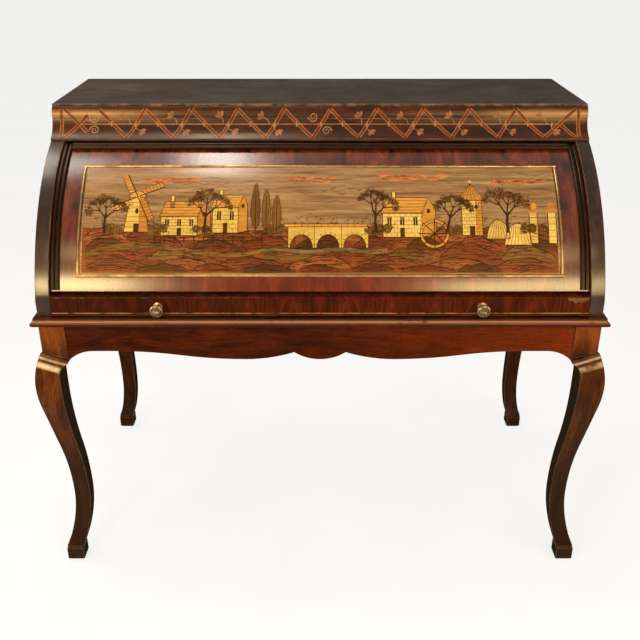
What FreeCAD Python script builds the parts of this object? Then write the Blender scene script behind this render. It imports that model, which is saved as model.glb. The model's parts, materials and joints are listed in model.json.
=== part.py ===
import FreeCAD, Part
import os
import re
import Sketcher
from FreeCAD import Placement, Rotation, Vector

DOC = FreeCAD.newDocument("cylinder_desk")

# Driving sizes: millimetres, and degrees above the horizontal seen from the cylinder's axis
SIZES = {
    # Stand
    "leg_height": "668",            # floor to the underside of the deck
    "post_size": "58",
    "knee_drop": "70",              # leg top to the ledge above the knee
    "knee_ledge": "4",
    "hood_fall": "16",              # how far the ledge falls towards the leg's inner side
    "knee_swell": "21",             # how far the knee stands out from the post
    "belly_drop": "150",
    "calf_drop": "205",
    "calf_swell": "16.2",
    "shin_height": "340",
    "shin_set": "5.4",
    "ankle_height": "193",
    "ankle_set": "18.2",
    "ankle_width": "38",
    "toe_height": "73",
    "toe_width": "40",
    "collar_rise": "3",
    "collar_notch": "4",
    "foot_height": "42",
    "foot_swell": "12.8",
    "foot_width": "42",
    "foot_chamfer": "6",
    "hollow_drop": "93",            # inner side of the leg, below the apron's bracket
    "knee_inner": "38",
    "knee_inner_drop": "123",
    "thigh_drop": "168",
    "shin_inner": "47",
    # Aprons
    "apron_thick": "20",
    "apron_set": "3",
    "bracket_drop": "91",
    "bracket_run": "58",
    "arch_drop": "67",
    "arch_run": "108",
    "lobe_drop": "88",
    "lobe_half": "171",
    "cusp_drop": "70",
    "cusp_half": "59",
    "side_lobe_drop": "83",
    # Deck and its moulding
    "deck_thick": "20",
    "deck_front_overhang": "22",
    "deck_side_overhang": "13",
    "deck_back_overhang": "4",
    "moulding_width": "24",
    "torus_height": "13",
    # Case
    "case_width": "1274",
    "case_setback": "7.6",          # side front behind the posts' front face
    "side_thick": "32",
    "post_set": "1",                # posts inside the outer faces of the sides
    "back_thick": "12",
    "back_overrun": "3.6",          # sides behind the posts
    "cylinder_radius": "492",       # front edge of the sides, about the cylinder's axis
    "spring_rise": "34",            # straight stretch of the side's front above the deck
    "spring_angle": "17.6",
    "top_thick": "24",
    "top_lip": "5",
    "top_overhang": "13",           # past the deck's back edge
    "frieze_setback": "323",
    "frieze_rise": "32",
    "frieze_top_setback": "308.5",
    "frieze_waist_setback": "298.5",
    "frieze_waist_rise": "40",
    "frieze_lip_setback": "264",
    "frieze_lip": "6",
    "frieze_swell_radius": "30",
    "frieze_hollow_radius": "61",
    # Rolling fall
    "fall_gap": "11",               # fall's face below the front edge of the sides
    "fall_thick": "22",
    "fall_rail_gap": "6",           # fall's lower edge above the slide's rail
    "fall_overlap_angle": "1.7",    # fall's upper edge behind the frieze
    "fall_back_gap": "8.4",         # open fall to the back panel
    "fall_swing_angle": "42",
    "fall_tongue": "8",
    "groove_clear": "0.5",
    "groove_depth": "10",
    "groove_end_play": "1",
    "guide_width": "21",
    "guide_base": "2",
    "guide_round": "4",
    "guide_gap": "0.6",
    "guide_end_angle": "0.4",
    "stile_width": "61",            # side to the middle of the brass bead
    "bottom_rail_angle": "4.2",
    "top_rail_angle": "9.7",
    "picture_gap": "2.5",
    "picture_gap_angle": "0.5",
    "picture_thick": "0.8",
    "bead_width": "7",
    "bead_rise": "4",
    # Writing slide
    "slide_thick": "24",
    "runner_rise": "12",
    "runner_width": "46",
    "runner_inset": "30",
    "slide_side_gap": "17",         # room beside the slide for the link plates and levers
    "rail_thick": "24",
    "rail_low": "4",
    "rail_height": "42",
    "rail_round": "3",
    "rail_side_gap": "1",
    "knob_inset": "242",            # side to the knob's middle
    "leather_front": "70",
    "leather_margin": "68",
    "leather_rear": "115",
    "leather_thick": "1",
    "leather_sink": "1.2",
    "leather_gap": "0.2",
    "knob_drop": "23",              # knob centre below the rail's top edge
    "knob_rim": "14.8",
    "knob_neck": "6.5",
    "knob_rose": "11",
    "knob_reach": "28",
    # Levers that tie the slide to the fall
    "lever_swing_angle": "110",
    "lever_thick": "5",
    "lever_gap": "3",
    "lever_hub": "15",
    "lever_tip": "11",
    "arm_trim": "5.8",              # keeps the lower pin near the middle of its slot
    "pin_radius": "5",
    "pin_inset": "19",              # highest reach of the upper pin inside the fall
    "pin_floor": "14.9",            # lowest place of the lower pin above the deck
    "pin_end_gap": "1.2",
    "pivot_radius": "5",
    "pivot_clear": "0.3",
    "pivot_head": "9",
    "pivot_flange": "12",
    "pivot_play": "0.5",
    "pivot_head_thick": "3.5",
    "link_thick": "5",
    "fall_link_set_angle": "3.5",   # plate below the fall's upper edge
    "fall_link_half": "22",
    "fall_link_tip": "14",
    "fall_slot_half": "7",
    "slide_link_half": "26",
    "slide_slot_half": "10.5",
    "link_margin": "7",
    "slot_play": "0.8",
    # Nest of pigeonholes and drawers
    "shelf_gap": "6",
    "shelf_thick": "14",
    "shelf_side_gap": "21",
    "shelf_tail": "20",
    "shelf_lip": "8",
    "nest_depth": "214",
    "nest_side_gap": "14",
    "nest_clear": "40",             # nest to the open fall
    "nest_thick": "10",
    "nest_divider": "8",
    "drawer_height": "76",
    "drawer_gap": "1",
    "drawer_front_thick": "14",
    "drawer_wall": "8",
    "drawer_floor": "6",
    "drawer_back_gap": "14",
    "small_knob_rim": "8",
    "small_knob_neck": "4",
    "small_knob_rose": "6.5",
    "small_knob_reach": "17",
}


def arc_radius(run, sag):
    """Formula for the radius of an arc that leaves its tangent by sag after run."""
    return f"(({run})^2 + ({sag})^2) / (2 * ({sag}))"


# Sizes and places that follow from the driving ones
WORK = {
    # Leg outline, outward negative from the post's outer face
    "knee_level": "leg_height - knee_drop",
    "hood_level": "knee_level - hood_fall",
    "belly_level": "leg_height - belly_drop",
    "calf_level": "leg_height - calf_drop",
    "hollow_level": "leg_height - hollow_drop",
    "knee_inner_level": "leg_height - knee_inner_drop",
    "thigh_level": "leg_height - thigh_drop",
    "ankle_inner": "ankle_set + ankle_width",
    "foot_inner": "foot_width - foot_swell",
    "foot_block_top": "foot_height - collar_notch",
    "foot_sole_out": "foot_swell - foot_chamfer",
    "foot_sole_in": "foot_inner - foot_chamfer",
    "notch_out": "foot_swell - collar_notch",
    "notch_in": "foot_inner - collar_notch",
    "collar_level": "foot_height + collar_rise",
    "collar_out": "foot_swell - collar_notch / 3",
    "collar_in": "foot_inner + collar_notch / 3",
    "brow_radius": arc_radius("belly_drop - knee_drop", "knee_swell - knee_ledge"),
    "belly_radius": arc_radius("calf_drop - belly_drop", "knee_swell - calf_swell"),
    "shin_radius": arc_radius("shin_height - ankle_height", "ankle_set - shin_set"),
    "ankle_radius": arc_radius("ankle_height - toe_height", "ankle_set"),
    "hollow_radius": arc_radius("knee_inner_drop - hollow_drop", "post_size - knee_inner"),
    "thigh_radius": arc_radius("thigh_level - shin_height", "shin_inner - knee_inner"),
    "calf_radius": arc_radius("shin_height - ankle_height", "ankle_inner - shin_inner"),
    "heel_radius": arc_radius("ankle_height - toe_height", "ankle_inner - toe_width"),
    "leg_blank": "post_size + knee_swell + foot_swell",
    "post_x": "side_out - post_set",
    "stand_depth": "case_setback + axis_setback + fall_rear + fall_back_gap + back_thick - back_overrun",
    "post_y": "stand_depth / 2",
    # Aprons
    "apron_half": "post_x - post_size",
    "side_apron_half": "post_y - post_size",
    "bracket_level": "leg_height - bracket_drop",
    "arch_level": "leg_height - arch_drop",
    "lobe_level": "leg_height - lobe_drop",
    "cusp_level": "leg_height - cusp_drop",
    "wave_level": "(arch_level + lobe_level) / 2",
    "bracket_x": "apron_half - bracket_run",
    "arch_x": "apron_half - arch_run",
    "wave_x": "(arch_x + lobe_half) / 2",
    "bracket_radius": arc_radius("bracket_run", "arch_level - bracket_level"),
    "wave_radius": arc_radius("arch_x - wave_x", "arch_level - wave_level"),
    "lobe_radius": arc_radius("lobe_half - cusp_half", "cusp_level - lobe_level"),
    "drop_radius": arc_radius("cusp_half", "cusp_level - lobe_level"),
    "side_bracket_y": "side_apron_half - bracket_run",
    "side_wave_y": "side_bracket_y / 2",
    "side_lobe_level": "leg_height - side_lobe_drop",
    "side_wave_level": "(arch_level + side_lobe_level) / 2",
    "side_wave_radius": arc_radius("side_wave_y", "arch_level - side_wave_level"),
    "apron_back": "apron_set + apron_thick - post_y",
    "back_apron_y": "post_y - apron_set - apron_thick",
    "side_apron_x": "post_x - apron_set - apron_thick",
    # Case and the cylinder's axis
    "side_front": "case_setback - post_y",
    "side_back": "post_y + back_overrun",
    "side_out": "case_width / 2",
    "side_in": "side_out - side_thick",
    "deck_top": "leg_height + deck_thick",
    "deck_half": "side_out + deck_side_overhang",
    "deck_front": "side_front - deck_front_overhang",
    "deck_back": "side_back + deck_back_overhang",
    "board_half": "deck_half - moulding_width",
    "board_front": "deck_front + moulding_width",
    "torus_radius": "torus_height / 2",
    "torus_front": "deck_front + torus_radius",
    "torus_side": "deck_half - torus_radius",
    "torus_level": "leg_height + torus_height",
    "spring_level": "deck_top + spring_rise",
    "axis_y": "side_front + axis_setback",
    "axis_z": "spring_level - cylinder_radius * sin(spring_angle)",
    "axis_setback": "cylinder_radius * cos(spring_angle)",
    "fall_rear": "fall_out * sin(fall_high_angle + fall_swing_angle - 90)",
    "frieze_back": "side_front + frieze_setback",
    "frieze_seat": "axis_z + sqrt(cylinder_radius^2 - (axis_y - frieze_back)^2)",
    "top_under": "frieze_seat + frieze_rise",
    "case_top": "top_under + top_thick",
    "frieze_top": "case_top - top_lip",
    "top_back": "deck_back + top_overhang",
    "frieze_top_y": "side_front + frieze_top_setback",
    "frieze_lip_y": "side_front + frieze_lip_setback",
    "frieze_lip_low": "axis_z + sqrt(cylinder_radius^2 - (axis_y - frieze_lip_y)^2)",
    "frieze_lip_high": "frieze_lip_low + frieze_lip",
    "frieze_waist_y": "side_front + frieze_waist_setback",
    "frieze_waist_z": "frieze_lip_high + frieze_waist_rise",
    "back_face": "side_back - back_thick",
    # Fall, grooves and guide beads
    "fall_out": "cylinder_radius - fall_gap",
    "fall_in": "fall_out - fall_thick",
    "fall_half": "side_in + fall_tongue",
    "fall_low_angle": "asin((rail_top + fall_rail_gap - axis_z) / fall_out) / (1 deg)",
    "fall_high_angle": "acos((axis_setback - frieze_lip_setback) / fall_out) / (1 deg) + fall_overlap_angle",
    "fall_middle_angle": "(fall_low_angle + fall_high_angle) / 2",
    "groove_in": "fall_in - groove_clear",
    "groove_out": "fall_out + groove_clear",
    "groove_low_angle": "fall_low_angle - groove_end_play",
    "groove_high_angle": "fall_high_angle + fall_swing_angle + groove_end_play",
    "groove_in_low_y": "axis_y - groove_in * cos(groove_low_angle)",
    "groove_in_low_z": "axis_z + groove_in * sin(groove_low_angle)",
    "groove_in_high_y": "axis_y - groove_in * cos(groove_high_angle)",
    "groove_in_high_z": "axis_z + groove_in * sin(groove_high_angle)",
    "groove_out_low_y": "axis_y - groove_out * cos(groove_low_angle)",
    "groove_out_low_z": "axis_z + groove_out * sin(groove_low_angle)",
    "groove_out_high_y": "axis_y - groove_out * cos(groove_high_angle)",
    "groove_out_high_z": "axis_z + groove_out * sin(groove_high_angle)",
    "guide_foot": "fall_out + guide_gap",
    "guide_shoulder": "guide_foot + guide_base",
    "guide_in": "side_in - guide_width",
    "guide_valley": "side_in - guide_width / 2",
    "guide_low_angle": "fall_low_angle + guide_end_angle",
    "guide_high_angle": "fall_high_angle - guide_end_angle",
    "guide_radius": "(guide_width^2 / 16 + guide_round^2) / (2 * guide_round)",
    "guide_middle_angle": "(guide_low_angle + guide_high_angle) / 2",
    "bead_half": "side_in - stile_width",
    "bead_low_angle": "fall_low_angle + bottom_rail_angle",
    "bead_high_angle": "fall_high_angle - top_rail_angle",
    "picture_half": "bead_half - bead_edge - picture_gap",
    "picture_low_angle": "bead_low_angle + picture_gap_angle",
    "picture_high_angle": "bead_high_angle - picture_gap_angle",
    "picture_middle_angle": "(picture_low_angle + picture_high_angle) / 2",
    "picture_top": "fall_out + picture_thick",
    "bead_edge": "bead_width / 2",
    "bead_side_in": "bead_half - bead_edge",
    "bead_side_out": "bead_half + bead_edge",
    "bead_radius": arc_radius("bead_edge", "bead_rise"),
    "bead_middle_angle": "(bead_low_angle + bead_high_angle) / 2",
    "bead_sweep_angle": "bead_high_angle - bead_low_angle - bead_width / fall_out * 180 / 3.14159265",
    # Writing slide
    "slide_low": "deck_top + runner_rise",
    "slide_top": "slide_low + slide_thick",
    "slide_half": "side_in - slide_side_gap",
    "runner_out": "slide_half - pin_end_gap",
    "runner_in": "runner_out - runner_width",
    "runner_front": "side_front + runner_inset",
    "runner_back": "side_back - runner_inset",
    "rail_half": "side_in - rail_side_gap",
    "rail_bottom": "deck_top + rail_low",
    "rail_top": "rail_bottom + rail_height",
    "rail_back": "side_front + rail_thick",
    "rail_round_y": "side_front + rail_round",
    "rail_round_low": "rail_bottom + rail_round",
    "rail_round_high": "rail_top - rail_round",
    "leather_half": "slide_half - leather_margin",
    "leather_y": "side_front + leather_front",
    "leather_back": "slide_back - leather_rear",
    "leather_depth": "leather_back - leather_y",
    "leather_bed": "slide_top - leather_sink",
    "knob_x": "side_in - knob_inset",
    "knob_z": "rail_top - knob_drop",
    # Levers: closed pose, upper pin rides the fall's slot and lower pin the slide's slot
    "half_turn_angle": "lever_swing_angle / 2",
    "half_roll_angle": "fall_swing_angle / 2",
    "fall_link_angle": "fall_high_angle - fall_link_set_angle",
    "lever_lean_angle": "90 - fall_link_angle - half_roll_angle",
    "pin_reach": "fall_in - pin_inset",
    "roll_slope": "tan(half_roll_angle)",
    "arm_share": "roll_slope / (sin(half_turn_angle) - roll_slope * cos(half_turn_angle))",
    "pivot_rise": "pin_reach / (1 + arm_share)",
    "upper_arm": "pin_reach - pivot_rise",
    "lower_arm": "pivot_z - deck_top - pin_floor",
    "slide_travel": "2 * sin(half_turn_angle) * (lower_arm + arm_trim)",
    "pivot_y": "axis_y - pivot_rise * sin(lever_lean_angle)",
    "pivot_z": "axis_z + pivot_rise * cos(lever_lean_angle)",
    "closed_lean_angle": "half_turn_angle + lever_lean_angle",
    "lower_pin_y": "0 - lower_arm * sin(lever_lean_angle)",
    "lower_pin_z": "0 - lower_arm * cos(lever_lean_angle)",
    "lower_right_y": "lower_pin_y + lever_tip * cos(lever_lean_angle)",
    "lower_right_z": "lower_pin_z - lever_tip * sin(lever_lean_angle)",
    "lower_left_y": "lower_pin_y - lever_tip * cos(lever_lean_angle)",
    "lower_left_z": "lower_pin_z + lever_tip * sin(lever_lean_angle)",
    "link_out": "slide_half + link_thick",
    "lever_in": "link_out + lever_gap",
    "lever_out": "lever_in + lever_thick",
    "pin_length": "lever_in - slide_half - pin_end_gap",
    "pivot_flange_x": "lever_out + pivot_play",
    "pivot_head_x": "lever_in - pivot_play",
    "pivot_end_x": "pivot_head_x - pivot_head_thick",
    "pivot_bore": "pivot_radius + pivot_clear",
    "upper_pin_side": "upper_arm * sin(half_turn_angle)",
    "upper_pin_rise": "pivot_rise + upper_arm * cos(half_turn_angle)",
    "upper_pin_low": "sqrt(upper_pin_side^2 + upper_pin_rise^2)",
    "fall_slot_low": "upper_pin_low - slot_play",
    "fall_slot_high": "pin_reach + slot_play",
    "fall_link_low": "fall_slot_low - fall_slot_half - link_margin + fall_link_tip",
    "fall_link_top": "sqrt(fall_in^2 - fall_link_half^2)",
    "slide_link_y": "pivot_y + slide_travel / 2",
    "slide_back": "slide_link_y + slide_link_half + pin_end_gap",
    "slide_slot_low": "pivot_z - lower_arm - pin_radius - slot_play + slide_slot_half",
    "slide_slot_high": "pivot_z - lower_arm * cos(half_turn_angle) + slot_play",
    "slide_link_low": "slide_slot_low - slide_slot_half - link_margin",
    "slide_link_high": "slide_slot_high + slide_slot_half + link_margin",
    "slide_link_round": "slide_link_half - link_margin",
    # Nest
    "shelf_low": "slide_top + shelf_gap",
    "shelf_top": "shelf_low + shelf_thick",
    "shelf_half": "side_in - shelf_side_gap",
    "shelf_front": "nest_front - shelf_lip",
    "shelf_wide": "back_face - shelf_tail",
    "nest_front": "back_face - nest_depth",
    "nest_half": "shelf_half - nest_side_gap",
    "nest_in": "nest_half - nest_thick",
    "nest_top": "axis_z + sqrt((fall_in - nest_clear)^2 - (back_face - axis_y)^2)",
    "nest_height": "nest_top - shelf_top",
    "rail_level": "shelf_top + drawer_height",
    "hole_low": "rail_level + nest_divider",
    "hole_high": "nest_top - nest_thick",
    "drawer_space": "(2 * nest_in - 2 * nest_divider) / 3",
    "drawer_step": "drawer_space + nest_divider",
    "hole_step": "drawer_step / 2",
    "drawer_width": "drawer_space - 2 * drawer_gap",
    "drawer_depth": "nest_depth - drawer_front_thick - drawer_back_gap",
    "drawer_tall": "drawer_height - 2 * drawer_gap",
    "drawer_box_y": "nest_front + drawer_front_thick",
    "drawer_knob_z": "shelf_top + drawer_height / 2",
}

# Turned knobs: distance out as a share of the reach, and radius as a share of a named one
KNOB_STEPS = (
    ("foot", 0, "rose", 1),
    ("rose", 0.08, "rose", 1),
    ("waist", 0.14, "neck", 1),
    ("throat", 0.46, "neck", 1),
    ("flare", 0.76, "rim", 0.96),
    ("edge", 0.84, "rim", 1),
    ("arris", 0.94, "rim", 0.97),
    ("ring", 1, "rim", 0.8),
    ("valley", 0.94, "rim", 0.7),
    ("crest", 1, "rim", 0.6),
    ("brink", 1, "rim", 0.5),
    ("dimple", 0.86, "rim", 0),
)


def add_knob_sizes(prefix):
    for step, share, size, part in KNOB_STEPS:
        WORK[f"{prefix}knob_{step}_out"] = f"0 - {share} * {prefix}knob_reach"
        WORK[f"{prefix}knob_{step}_radius"] = f"{part} * {prefix}knob_{size}"
    run = f"{prefix}knob_throat_out - {prefix}knob_flare_out"
    climb = f"{prefix}knob_flare_radius - {prefix}knob_neck"
    WORK[f"{prefix}knob_bell"] = arc_radius(run, climb)
    dip = f"{prefix}knob_dimple_out - {prefix}knob_brink_out"
    WORK[f"{prefix}knob_hollow"] = arc_radius(f"{prefix}knob_brink_radius", dip)


NAME = re.compile(r"[a-z][a-z_]+")
sizes = DOC.addObject("Spreadsheet::Sheet", "Sizes")
work = DOC.addObject("Spreadsheet::Sheet", "Work")


def linked(text):
    """Expression text with each size's name led back to its sheet."""
    def sheet_name(found):
        word = found.group(0)
        if word in SIZES:
            return "Sizes." + word
        return "Work." + word if word in WORK else word
    return NAME.sub(sheet_name, text)


def fill_sheets():
    for row, (alias, number) in enumerate(SIZES.items(), start=1):
        sizes.set(f"A{row}", alias.replace("_", " "))
        sizes.set(f"B{row}", number)
        sizes.setAlias(f"B{row}", alias)
    DOC.recompute()
    waiting = dict(WORK)
    row = 0
    while waiting:
        ready = [alias for alias in waiting if not waiting.keys() & set(NAME.findall(waiting[alias]))]
        if not ready:
            raise RuntimeError("sizes that wait for each other: " + ", ".join(waiting))
        for alias in ready:
            row += 1
            work.set(f"A{row}", alias.replace("_", " "))
            work.set(f"B{row}", "=" + linked(waiting.pop(alias)).replace("Work.", ""))
            work.setAlias(f"B{row}", alias)
    DOC.recompute()


def value(name):
    """Number behind a size's name, which may carry a leading minus."""
    if name.startswith("-"):
        return -value(name[1:])
    if name in SIZES:
        return float(getattr(sizes, name))
    if name in WORK:
        return float(getattr(work, name))
    return float(name)


def bind(item, **expressions):
    for prop, text in expressions.items():
        item.setExpression(prop, linked(text))


def place(item, x="0", y="0", z="0", axis="0;0;1", angle="0"):
    turn = f"rotation(vector({axis}); {angle})"
    bind(item, Placement=f"placement(vector({x}; {y}; {z}); {turn})")


def arc_edge(start, end, radius, turn):
    """Arc from start to end that turns left (1) or right (-1)."""
    chord = end - start
    middle = (start + end) * 0.5
    rise = max(radius * radius - chord.Length ** 2 / 4, 0.0) ** 0.5
    normal = Vector(-chord.y, chord.x, 0).normalize()
    centre = middle + normal * rise * turn
    out = (middle - centre)
    bulge = out.normalize() if out.Length > 1e-9 else normal * -turn
    return Part.ArcOfCircle(start, centre + bulge * radius, end)


def draw_loop(sketch, corners):
    """Closed loop through named corners; a corner may carry the radius and turn of the arc after it."""
    first = sketch.GeometryCount
    points = [Vector(value(c[0]), value(c[1]), 0) for c in corners]
    count = len(corners)
    edges = []
    for i, corner in enumerate(corners):
        end = points[(i + 1) % count]
        if len(corner) == 4:
            radius = (end - points[i]).Length / 2 if corner[2] == "half" else value(corner[2])
            edges.append(arc_edge(points[i], end, radius, corner[3]))
        else:
            edges.append(Part.LineSegment(points[i], end))
    sketch.addGeometry(edges, False)
    # An arc that turns right is stored from its end to its start
    tail = [2 if len(c) == 4 and c[3] < 0 else 1 for c in corners]
    for i, corner in enumerate(corners):
        nxt = (i + 1) % count
        sketch.addConstraint(Sketcher.Constraint(
            "Coincident", first + i, 3 - tail[i], first + nxt, tail[nxt]))
    for i, corner in enumerate(corners):
        spots = (("DistanceX", corner[0], points[i].x), ("DistanceY", corner[1], points[i].y))
        for kind, coordinate, number in spots:
            index = sketch.addConstraint(Sketcher.Constraint(kind, -1, 1, first + i, tail[i], number))
            sketch.setExpression(f"Constraints[{index}]", linked(coordinate))
        if len(corner) == 4 and corner[2] == "half":
            sketch.addConstraint(Sketcher.Constraint("Symmetric", first + i, 1, first + i, 2, first + i, 3))
        elif len(corner) == 4:
            index = sketch.addConstraint(Sketcher.Constraint("Radius", first + i, value(corner[2])))
            sketch.setExpression(f"Constraints[{index}]", linked(corner[2]))


def draw_circle(sketch, x, y, radius):
    centre = Vector(value(x), value(y), 0)
    index = sketch.addGeometry(Part.Circle(centre, Vector(0, 0, 1), value(radius)), False)
    for kind, coordinate in (("DistanceX", x), ("DistanceY", y)):
        spot = sketch.addConstraint(Sketcher.Constraint(kind, -1, 1, index, 3, value(coordinate)))
        sketch.setExpression(f"Constraints[{spot}]", linked(coordinate))
    spot = sketch.addConstraint(Sketcher.Constraint("Radius", index, value(radius)))
    sketch.setExpression(f"Constraints[{spot}]", linked(radius))


def new_body(label):
    body = DOC.addObject("PartDesign::Body", label)
    body.Label = label
    return body


def new_sketch(body, plane, loops=(), circles=(), offset=None):
    sketch = body.newObject("Sketcher::SketchObject", body.Label + "_sketch")
    origin = next(f for f in body.Origin.OriginFeatures if f.Role == plane)
    sketch.AttachmentSupport = (origin, [""])
    sketch.MapMode = "FlatFace"
    if offset:
        sketch.setExpression("AttachmentOffset.Base.z", linked(offset))
    for loop in loops:
        draw_loop(sketch, loop)
    for circle in circles:
        draw_circle(sketch, *circle)
    DOC.recompute()
    return sketch


def pad(body, sketch, length, both_ways=False, back=False):
    feature = body.newObject("PartDesign::Pad", body.Label + "_pad")
    feature.Profile = sketch
    feature.SideType = "Symmetric" if both_ways else "One side"
    feature.Reversed = back
    bind(feature, Length=length)
    DOC.recompute()
    return feature


def pocket(body, sketch, depth, both_ways=False, back=False):
    before = body.Shape.Volume
    feature = body.newObject("PartDesign::Pocket", body.Label + "_pocket")
    feature.Profile = sketch
    feature.SideType = "Symmetric" if both_ways else "One side"
    feature.Reversed = back
    bind(feature, Length=depth)
    DOC.recompute()
    if body.Shape.Volume >= before - 1e-6:
        raise RuntimeError(f"pocket cuts nothing in {body.Label}")
    return feature


def revolve(body, sketch, sweep, axis="H_Axis"):
    feature = body.newObject("PartDesign::Revolution", body.Label + "_turned")
    feature.Profile = sketch
    feature.ReferenceAxis = (sketch, [axis])
    feature.Midplane = True
    bind(feature, Angle=sweep)
    DOC.recompute()
    return feature


def board(label, x, y, z, length, width, height):
    """Plain sawn board from its lowest corner."""
    item = DOC.addObject("Part::Box", label)
    item.Label = label
    bind(item, Length=length, Width=width, Height=height)
    place(item, x, y, z)
    return item


def group(label, items):
    item = DOC.addObject("Part::Compound", label)
    item.Label = label
    item.Links = items
    return item


def flip(corners):
    """The same outline on the other side of the vertical axis."""
    out = []
    count = len(corners)
    for i in range(count - 1, -1, -1):
        x = corners[i][0]
        mirrored = x[1:] if x.startswith("-") else ("0" if x == "0" else "-" + x)
        arc = corners[i - 1][2:] if i > 0 else corners[count - 1][2:]
        out.append((mirrored, corners[i][1]) + tuple(arc))
    return out


# Cabriole leg: sawn to one outline from two faces of a square blank
LEG_OUTLINE = [
    ("0", "leg_height"),
    ("0", "knee_level"),
    ("-knee_ledge", "knee_level", "brow_radius", 1),
    ("-knee_swell", "belly_level", "belly_radius", 1),
    ("-calf_swell", "calf_level"),
    ("shin_set", "shin_height", "shin_radius", -1),
    ("ankle_set", "ankle_height", "ankle_radius", -1),
    ("0", "toe_height"),
    ("-collar_out", "collar_level"),
    ("-notch_out", "foot_height"),
    ("-foot_swell", "foot_block_top"),
    ("-foot_swell", "foot_chamfer"),
    ("-foot_sole_out", "0"),
    ("foot_sole_in", "0"),
    ("foot_inner", "foot_chamfer"),
    ("foot_inner", "foot_block_top"),
    ("notch_in", "foot_height"),
    ("collar_in", "collar_level"),
    ("toe_width", "toe_height", "heel_radius", 1),
    ("ankle_inner", "ankle_height", "calf_radius", 1),
    ("shin_inner", "shin_height", "thigh_radius", -1),
    ("knee_inner", "thigh_level"),
    ("knee_inner", "knee_inner_level", "hollow_radius", -1),
    ("post_size", "hollow_level"),
    ("post_size", "leg_height"),
]


# Wedge taken off in front of the post, so that the ledge falls towards the inner side
HOOD_OFFCUT = [
    ("0", "knee_level"),
    ("post_size", "hood_level"),
    ("post_size", "knee_level"),
]


def sawn(label, facing, outline, ahead, behind):
    sketch = DOC.addObject("Sketcher::SketchObject", label + "_sketch")
    sketch.Placement = facing
    draw_loop(sketch, outline)
    cut = DOC.addObject("Part::Extrusion", label)
    cut.Base = sketch
    cut.DirMode = "Normal"
    cut.Solid = True
    bind(cut, LengthFwd=ahead, LengthRev=behind)
    return cut


def leg(label, x, y, turn):
    front = Placement(Vector(), Rotation(0, 0, 90))
    side = Placement(Vector(), Rotation(90, 0, 90))
    blank = DOC.addObject("Part::Common", label + "_blank")
    blank.Base = sawn(label + "_front_cut", front, LEG_OUTLINE, "leg_blank", "leg_blank")
    blank.Tool = sawn(label + "_side_cut", side, LEG_OUTLINE, "leg_blank", "leg_blank")
    item = DOC.addObject("Part::Cut", label)
    item.Label = label
    item.Base = blank
    item.Tool = group(label + "_offcuts", [
        sawn(label + "_front_offcut", front, HOOD_OFFCUT, "leg_blank", "0"),
        sawn(label + "_side_offcut", side, HOOD_OFFCUT, "0", "leg_blank"),
    ])
    place(item, x, y, "0", angle=turn)
    return item


def front_apron(label):
    """Front apron: bracketed ends, long waves and a small lobe between two cusps."""
    body = new_body(label)
    half = [
        ("-apron_half", "leg_height"),
        ("-apron_half", "bracket_level", "bracket_radius", -1),
        ("-bracket_x", "arch_level"),
        ("-arch_x", "arch_level", "wave_radius", -1),
        ("-wave_x", "wave_level", "wave_radius", 1),
        ("-lobe_half", "lobe_level", "lobe_radius", 1),
    ]
    other = [
        ("lobe_half", "lobe_level", "wave_radius", 1),
        ("wave_x", "wave_level", "wave_radius", -1),
        ("arch_x", "arch_level"),
        ("bracket_x", "arch_level", "bracket_radius", -1),
        ("apron_half", "bracket_level"),
        ("apron_half", "leg_height"),
    ]
    cusps = [
        ("-cusp_half", "cusp_level", "drop_radius", 1),
        ("cusp_half", "cusp_level", "lobe_radius", 1),
    ]
    pad(body, new_sketch(body, "XZ_Plane", [half + cusps + other]), "apron_thick")
    place(body, y="apron_back")
    return body


def side_apron(label, x):
    body = new_body(label)
    outline = [
        ("-side_apron_half", "leg_height"),
        ("-side_apron_half", "bracket_level", "bracket_radius", -1),
        ("-side_bracket_y", "arch_level", "side_wave_radius", -1),
        ("-side_wave_y", "side_wave_level", "side_wave_radius", 1),
        ("0", "side_lobe_level", "side_wave_radius", 1),
        ("side_wave_y", "side_wave_level", "side_wave_radius", -1),
        ("side_bracket_y", "arch_level", "bracket_radius", -1),
        ("side_apron_half", "bracket_level"),
        ("side_apron_half", "leg_height"),
    ]
    pad(body, new_sketch(body, "YZ_Plane", [outline]), "apron_thick")
    place(body, x=x)
    return body


def front_moulding(label):
    body = new_body(label)
    section = [
        ("board_front", "leg_height"),
        ("board_front", "deck_top"),
        ("torus_front", "deck_top"),
        ("torus_front", "torus_level", "half", 1),
        ("torus_front", "leg_height"),
    ]
    pad(body, new_sketch(body, "YZ_Plane", [section]), "2 * deck_half", both_ways=True)
    mitre = [("deck_half", "deck_front"), ("deck_half", "board_front"), ("board_half", "board_front")]
    cut = new_sketch(body, "XY_Plane", [mitre, flip(mitre)])
    pocket(body, cut, "3 * deck_top", both_ways=True)
    return body


def side_moulding(label, sign):
    body = new_body(label)
    section = [
        ("board_half", "leg_height"),
        ("torus_side", "leg_height", "half", 1),
        ("torus_side", "torus_level"),
        ("torus_side", "deck_top"),
        ("board_half", "deck_top"),
    ]
    mitre = [("deck_half", "deck_front"), ("board_half", "board_front"), ("board_half", "deck_front")]
    if sign < 0:
        section = flip(section)
        mitre = flip(mitre)
    sketch = new_sketch(body, "XZ_Plane", [section], offset="-deck_front")
    pad(body, sketch, "deck_back - deck_front", back=True)
    pocket(body, new_sketch(body, "XY_Plane", [mitre]), "3 * deck_top", both_ways=True)
    return body


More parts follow.
